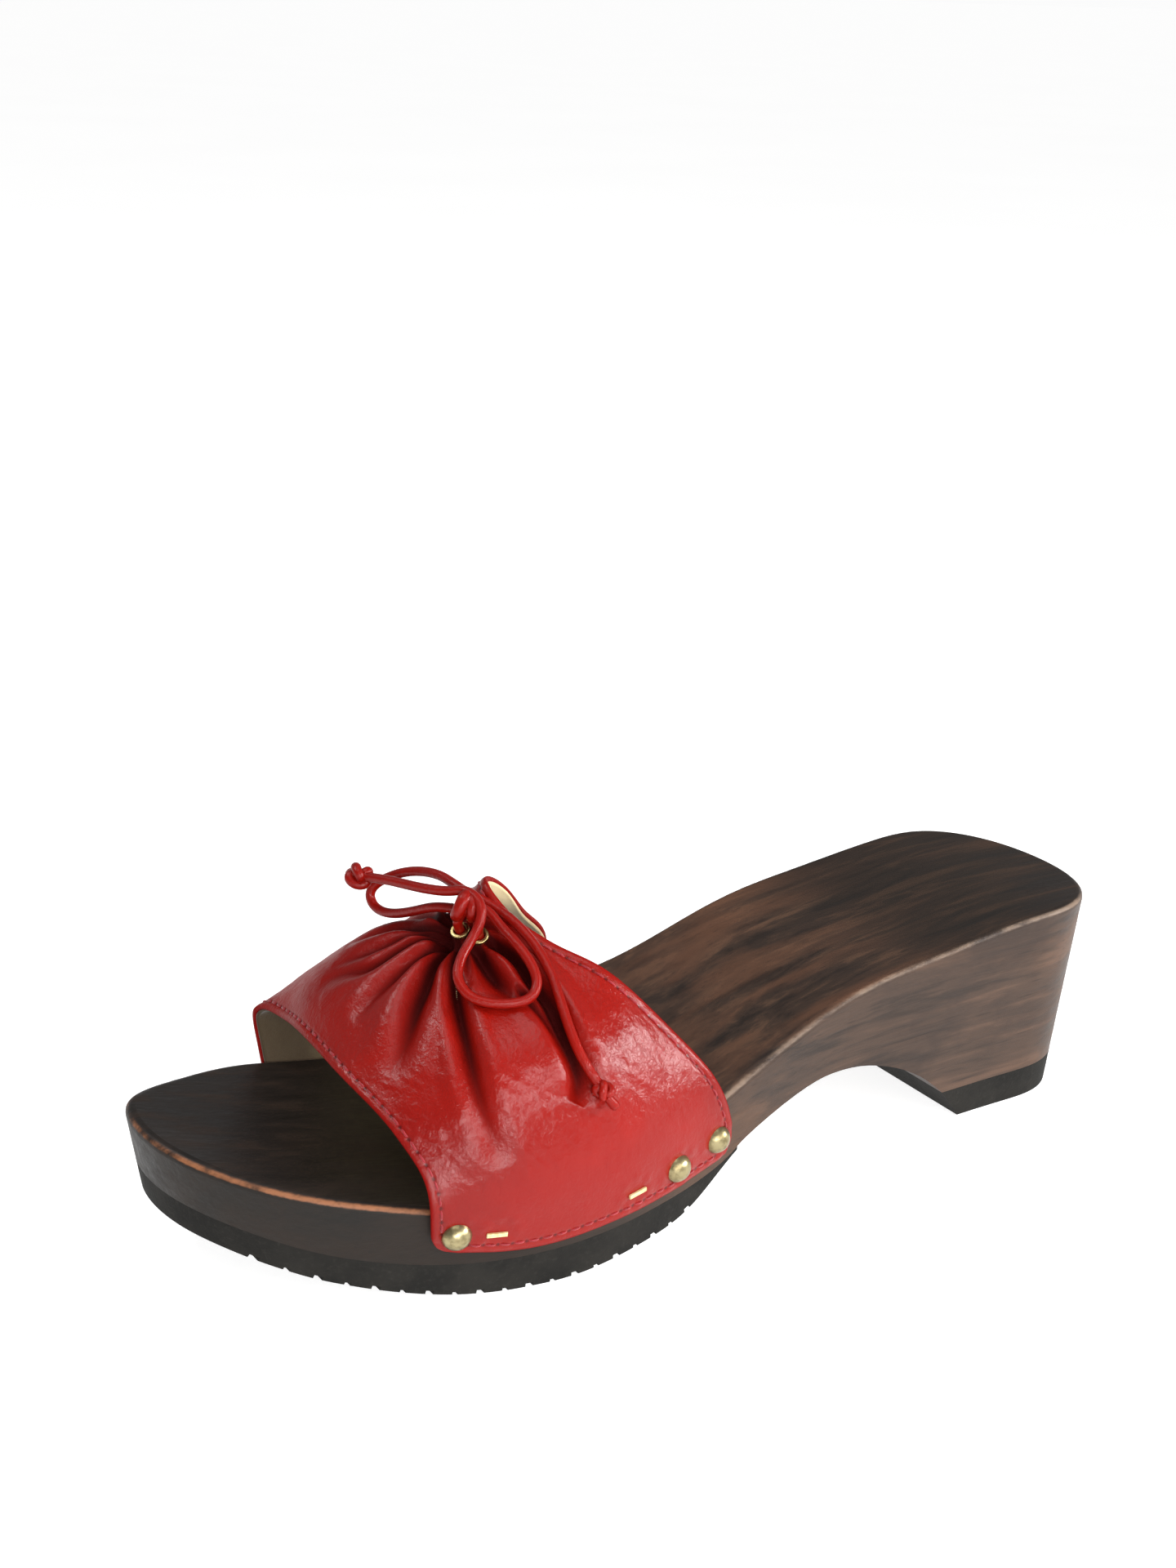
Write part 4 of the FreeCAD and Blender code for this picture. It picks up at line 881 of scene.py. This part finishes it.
RUNS = (("front", 0.03, 0.97), ("rear", 0.03, 0.97), ("lateral", 0.06, 0.94), ("medial", 0.06, 0.94))
PITCH = 3.2
# hole_attr marks the stitch holes: it dents the leather there and sets the painted shade in the holes
hole_attr = np.zeros((NT, NS))
for which, lo_, hi_ in RUNS:
    run_line, _ = inset_run(which, lo_, hi_)
    run_at = np.concatenate([[0], np.cumsum(np.linalg.norm(np.diff(run_line, axis=0), axis=1))])
    number_ = int(run_at[-1] / PITCH)
    for k_ in range(number_ + 1):
        q_ = k_ * run_at[-1] / number_
        c_ = np.array([np.interp(q_, run_at, run_line[:, c]) for c in range(3)])
        hole_attr = np.maximum(hole_attr, np.exp(-(np.linalg.norm(OUTER1 - c_, axis=-1) / 0.5) ** 2))
OUTER1 = OUTER1 - N1 * (0.14 * hole_attr)[..., None]
# painted shade mask: how far the leather is darkened in the pleat valleys and the pit; it also makes them rougher and
# less glossy
valley_shade_attr = np.clip((valley * hold * hold_s) / 2.7 + pit * 1.3, 0, 1)
edge_attr = np.clip(1 - np.minimum(edge_mm, side_mm) / 1.1, 0, 1)

OUT = remap(OUTER1)
N_OUT = remap(N1)
N_OUT /= np.linalg.norm(N_OUT, axis=-1, keepdims=True)
V_OUT = remap(valley_shade_attr)
E_OUT = remap(edge_attr)
H_OUT = remap(hole_attr)


def sheet_mesh(name, out, nrm, top_depth, thick, slot, step=1, attrs=None, bulge=0.22):
    """A closed leather sheet: outer face, rounded rim and inner face. Depths in mm below the outer face."""
    rows = np.unique(np.r_[np.arange(0, out.shape[0], step), out.shape[0] - 1])
    cols = np.unique(np.r_[np.arange(0, out.shape[1], step), out.shape[1] - 1])
    o = out[np.ix_(rows, cols)]
    n = nrm[np.ix_(rows, cols)]
    a, b = o.shape[:2]
    top = o - n * top_depth
    # the inner face is smoothed so that it doesn't fold through itself in the valleys
    under = blur(o, 1.5) - blur(n, 2.0) * (top_depth + thick)
    under[0], under[-1] = (o - n * (top_depth + thick))[0], (o - n * (top_depth + thick))[-1]
    under[:, 0], under[:, -1] = (o - n * (top_depth + thick))[:, 0], (o - n * (top_depth + thick))[:, -1]
    ring = [(0, i) for i in range(b)] + [(j, b - 1) for j in range(1, a)]
    ring += [(a - 1, i) for i in range(b - 2, -1, -1)] + [(j, 0) for j in range(a - 2, 0, -1)]
    verts = [top.reshape(-1, 3), under.reshape(-1, 3)]
    base_u = a * b
    faces = []
    for j in range(a - 1):
        for i in range(b - 1):
            q = (j * b + i, j * b + i + 1, (j + 1) * b + i + 1, (j + 1) * b + i)
            faces.append(q)
            faces.append(tuple(base_u + k for k in q[::-1]))
    rj = np.array([r[0] for r in ring])
    ri = np.array([r[1] for r in ring])
    rim_t, rim_u, rim_n = top[rj, ri], under[rj, ri], n[rj, ri]
    nxt = np.roll(rim_t, -1, 0) - np.roll(rim_t, 1, 0)
    side = np.cross(nxt, rim_n)
    side /= np.maximum(np.linalg.norm(side, axis=1, keepdims=True), 1e-12)
    mid = o[a // 2, b // 2]
    # outward: away from the neighbour inside
    inner_j = np.clip(rj, 1, a - 2)
    inner_i = np.clip(ri, 1, b - 2)
    away = rim_t - top[inner_j, inner_i]
    sgn = np.sign((side * away).sum(1, keepdims=True))
    sgn[sgn == 0] = 1
    side = side * np.sign(np.median(sgn))
    levels = [(0.2, 0.62), (0.5, 1.0), (0.8, 0.62)]
    base_r = 2 * a * b
    m_ = len(ring)
    for f, g in levels:
        verts.append(rim_t * (1 - f) + rim_u * f + side * bulge * g * thick)
    tops = [j * b + i for j, i in ring]
    chain = [tops] + [[base_r + k * m_ + i for i in range(m_)] for k in range(len(levels))] + [[base_u + t for t in tops]]
    for lo_, hi_ in zip(chain[:-1], chain[1:]):
        for i in range(m_):
            j = (i + 1) % m_
            faces.append((lo_[j], lo_[i], hi_[i], hi_[j]))
    pts = (np.concatenate(verts) + SHIFT) * MM
    mesh = bpy.data.meshes.new(name)
    mesh.from_pydata(pts.tolist(), [], faces)
    mesh.materials.append(MAT[slot])
    mesh.polygons.foreach_set("use_smooth", [True] * len(mesh.polygons))
    if attrs:
        for key, field in attrs.items():
            f_ = field[np.ix_(rows, cols)].reshape(-1)
            rim_v = np.tile(field[np.ix_(rows, cols)][rj, ri], len(levels))
            data = np.concatenate([f_, f_, rim_v]).astype(np.float32)
            layer = mesh.attributes.new(key, "FLOAT", "POINT")
            layer.data.foreach_set("value", data)
    mesh.update()
    # faces point outwards
    import bmesh
    bm = bmesh.new()
    bm.from_mesh(mesh)
    bmesh.ops.recalc_face_normals(bm, faces=bm.faces)
    bm.to_mesh(mesh)
    bm.free()
    return link(bpy.data.objects.new(name, mesh))


# the valley mask carries the painted shade of the valleys and pit, the hole mask the painted shade of the stitch holes
leather = sheet_mesh("vamp_leather_cover", OUT, N_OUT, 0.0, 1.2, "vamp_leather",
                     attrs={"valley": V_OUT, "edge": E_OUT, "hole": H_OUT})
lining = sheet_mesh("vamp_lining_cover", OUT, N_OUT, 1.26, 0.78, "lining_suede", step=2, bulge=0.3)
for piece, node, slot in ((leather, "vamp_outer", "vamp_leather"), (lining, "vamp_lining", "lining_suede")):
    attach(piece, "root")
    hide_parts(node)


# ------------------------------------------------------------------ hem stitching
def stitched(name, line, nrm, node):
    """Separate thread stitches lying on a line of surface points, their ends sunk into the leather."""
    seg = np.linalg.norm(np.diff(line, axis=0), axis=1)
    at = np.concatenate([[0], np.cumsum(seg)])
    total = at[-1]
    number = int(total / PITCH)
    verts, faces = [], []
    sides, rings = 8, 9
    for k in range(number):
        mid = (k + 0.5) * total / number
        q = np.linspace(mid - 1.25, mid + 1.25, rings)
        p = np.stack([np.interp(q, at, line[:, c]) for c in range(3)], 1)
        n = np.stack([np.interp(q, at, nrm[:, c]) for c in range(3)], 1)
        n /= np.linalg.norm(n, axis=1, keepdims=True)
        g = np.linspace(-1, 1, rings)
        lift = 0.13 - 0.5 * np.abs(g) ** 3
        rad = 0.25 * (1 - 0.35 * np.abs(g) ** 4)
        c = p + n * lift[:, None]
        d = np.gradient(c, axis=0)
        d /= np.linalg.norm(d, axis=1, keepdims=True)
        side = np.cross(d, n)
        side /= np.linalg.norm(side, axis=1, keepdims=True)
        top = np.cross(side, d)
        base = len(verts)
        for r in range(rings):
            for a in range(sides):
                t_ = 2 * math.pi * a / sides
                verts.append(c[r] + rad[r] * (math.cos(t_) * side[r] + 0.85 * math.sin(t_) * top[r]))
        for r in range(rings - 1):
            for a in range(sides):
                b_ = (a + 1) % sides
                faces.append((base + r * sides + a, base + r * sides + b_, base + (r + 1) * sides + b_, base + (r + 1) * sides + a))
        faces.append(tuple(base + a for a in range(sides))[::-1])
        faces.append(tuple(base + (rings - 1) * sides + a for a in range(sides)))
    mesh = bpy.data.meshes.new(name)
    mesh.from_pydata(((np.array(verts) + SHIFT) * MM).tolist(), [], faces)
    mesh.materials.append(MAT["hem_thread"])
    mesh.polygons.foreach_set("use_smooth", [len(p.vertices) == 4 for p in mesh.polygons])
    o = link(bpy.data.objects.new(name, mesh))
    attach(o, "root")
    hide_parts(node)
    return o


for which, lo_, hi_ in RUNS:
    line, nn = inset_run(which, lo_, hi_)
    stitched("hem_stitches_" + which, line, nn, "hem_thread_" + which)

# ------------------------------------------------------------------ CAD parts: a loop over them that changes nothing
for name, obj in NODES.items():
    if obj.hide_render:
        continue

# ------------------------------------------------------------------ floor and light
floor_mesh = bpy.data.meshes.new("floor")
R = 80.0
floor_mesh.from_pydata([(-R, -R, -0.0002), (R, -R, -0.0002), (R, R, -0.0002), (-R, R, -0.0002)], [], [(0, 1, 2, 3)])
fm = Nodes("floor_pale")
fv = fm.mapped((1, 1, 1))
fcol = fm.ramp(fm.noise(fv, 3, 3, 0.5), [(0.3, (0.55, 0.55, 0.547)), (0.7, (0.58, 0.58, 0.577))])
fm.bsdf.inputs["Emission Color"].default_value = (1.0, 1.0, 1.0, 1.0)
fm.bsdf.inputs["Emission Strength"].default_value = 0.82
floor_mesh.materials.append(fm.set(color=fcol, rough=0.9, spec=0.1))
floor = link(bpy.data.objects.new("floor", floor_mesh))

world = bpy.data.worlds.new("studio")
bpy.context.scene.world = world
world.use_nodes = True
bg = world.node_tree.nodes.get("Background")
bg.inputs[1].default_value = 1.0
# a dim, even room light, whose backdrop is seen as white as the floor
wt = world.node_tree
w_path = wt.nodes.new("ShaderNodeLightPath")
w_mix = wt.nodes.new("ShaderNodeMixRGB")
w_mix.inputs[1].default_value = (0.27, 0.27, 0.27, 1.0)
w_mix.inputs[2].default_value = (0.97, 0.97, 0.97, 1.0)
wt.links.new(w_path.outputs["Is Camera Ray"], w_mix.inputs[0])
wt.links.new(w_mix.outputs[0], bg.inputs[0])


def softbox(name, azimuth, elevation, distance, width, height_, power, target=(0.0, -0.03, 0.04)):
    """A soft area light; azimuth 0 is in front of the toe and 90 is at the lateral side."""
    data = bpy.data.lights.new(name, "AREA")
    data.shape = "RECTANGLE"
    data.size = width
    data.size_y = height_
    data.energy = power
    o = link(bpy.data.objects.new(name, data))
    a, e = math.radians(azimuth), math.radians(elevation)
    d = Vector((math.sin(a) * math.cos(e), -math.cos(a) * math.cos(e), math.sin(e)))
    o.location = Vector(target) + d * distance
    o.rotation_mode = "QUATERNION"
    o.rotation_quaternion = (-d).to_track_quat("-Z", "Y")
    return o


softbox("key_side", 98, 28, 1.1, 1.3, 0.12, 8.2)
softbox("front_low", 68, 14, 1.1, 0.8, 0.1, 6.2)
softbox("rear_side", 146, 20, 1.1, 0.4, 0.18, 9.0)
softbox("top_left", -45, 52, 1.2, 0.3, 0.2, 3.4)
softbox("overhead", 40, 80, 1.3, 0.8, 0.8, 4.6)
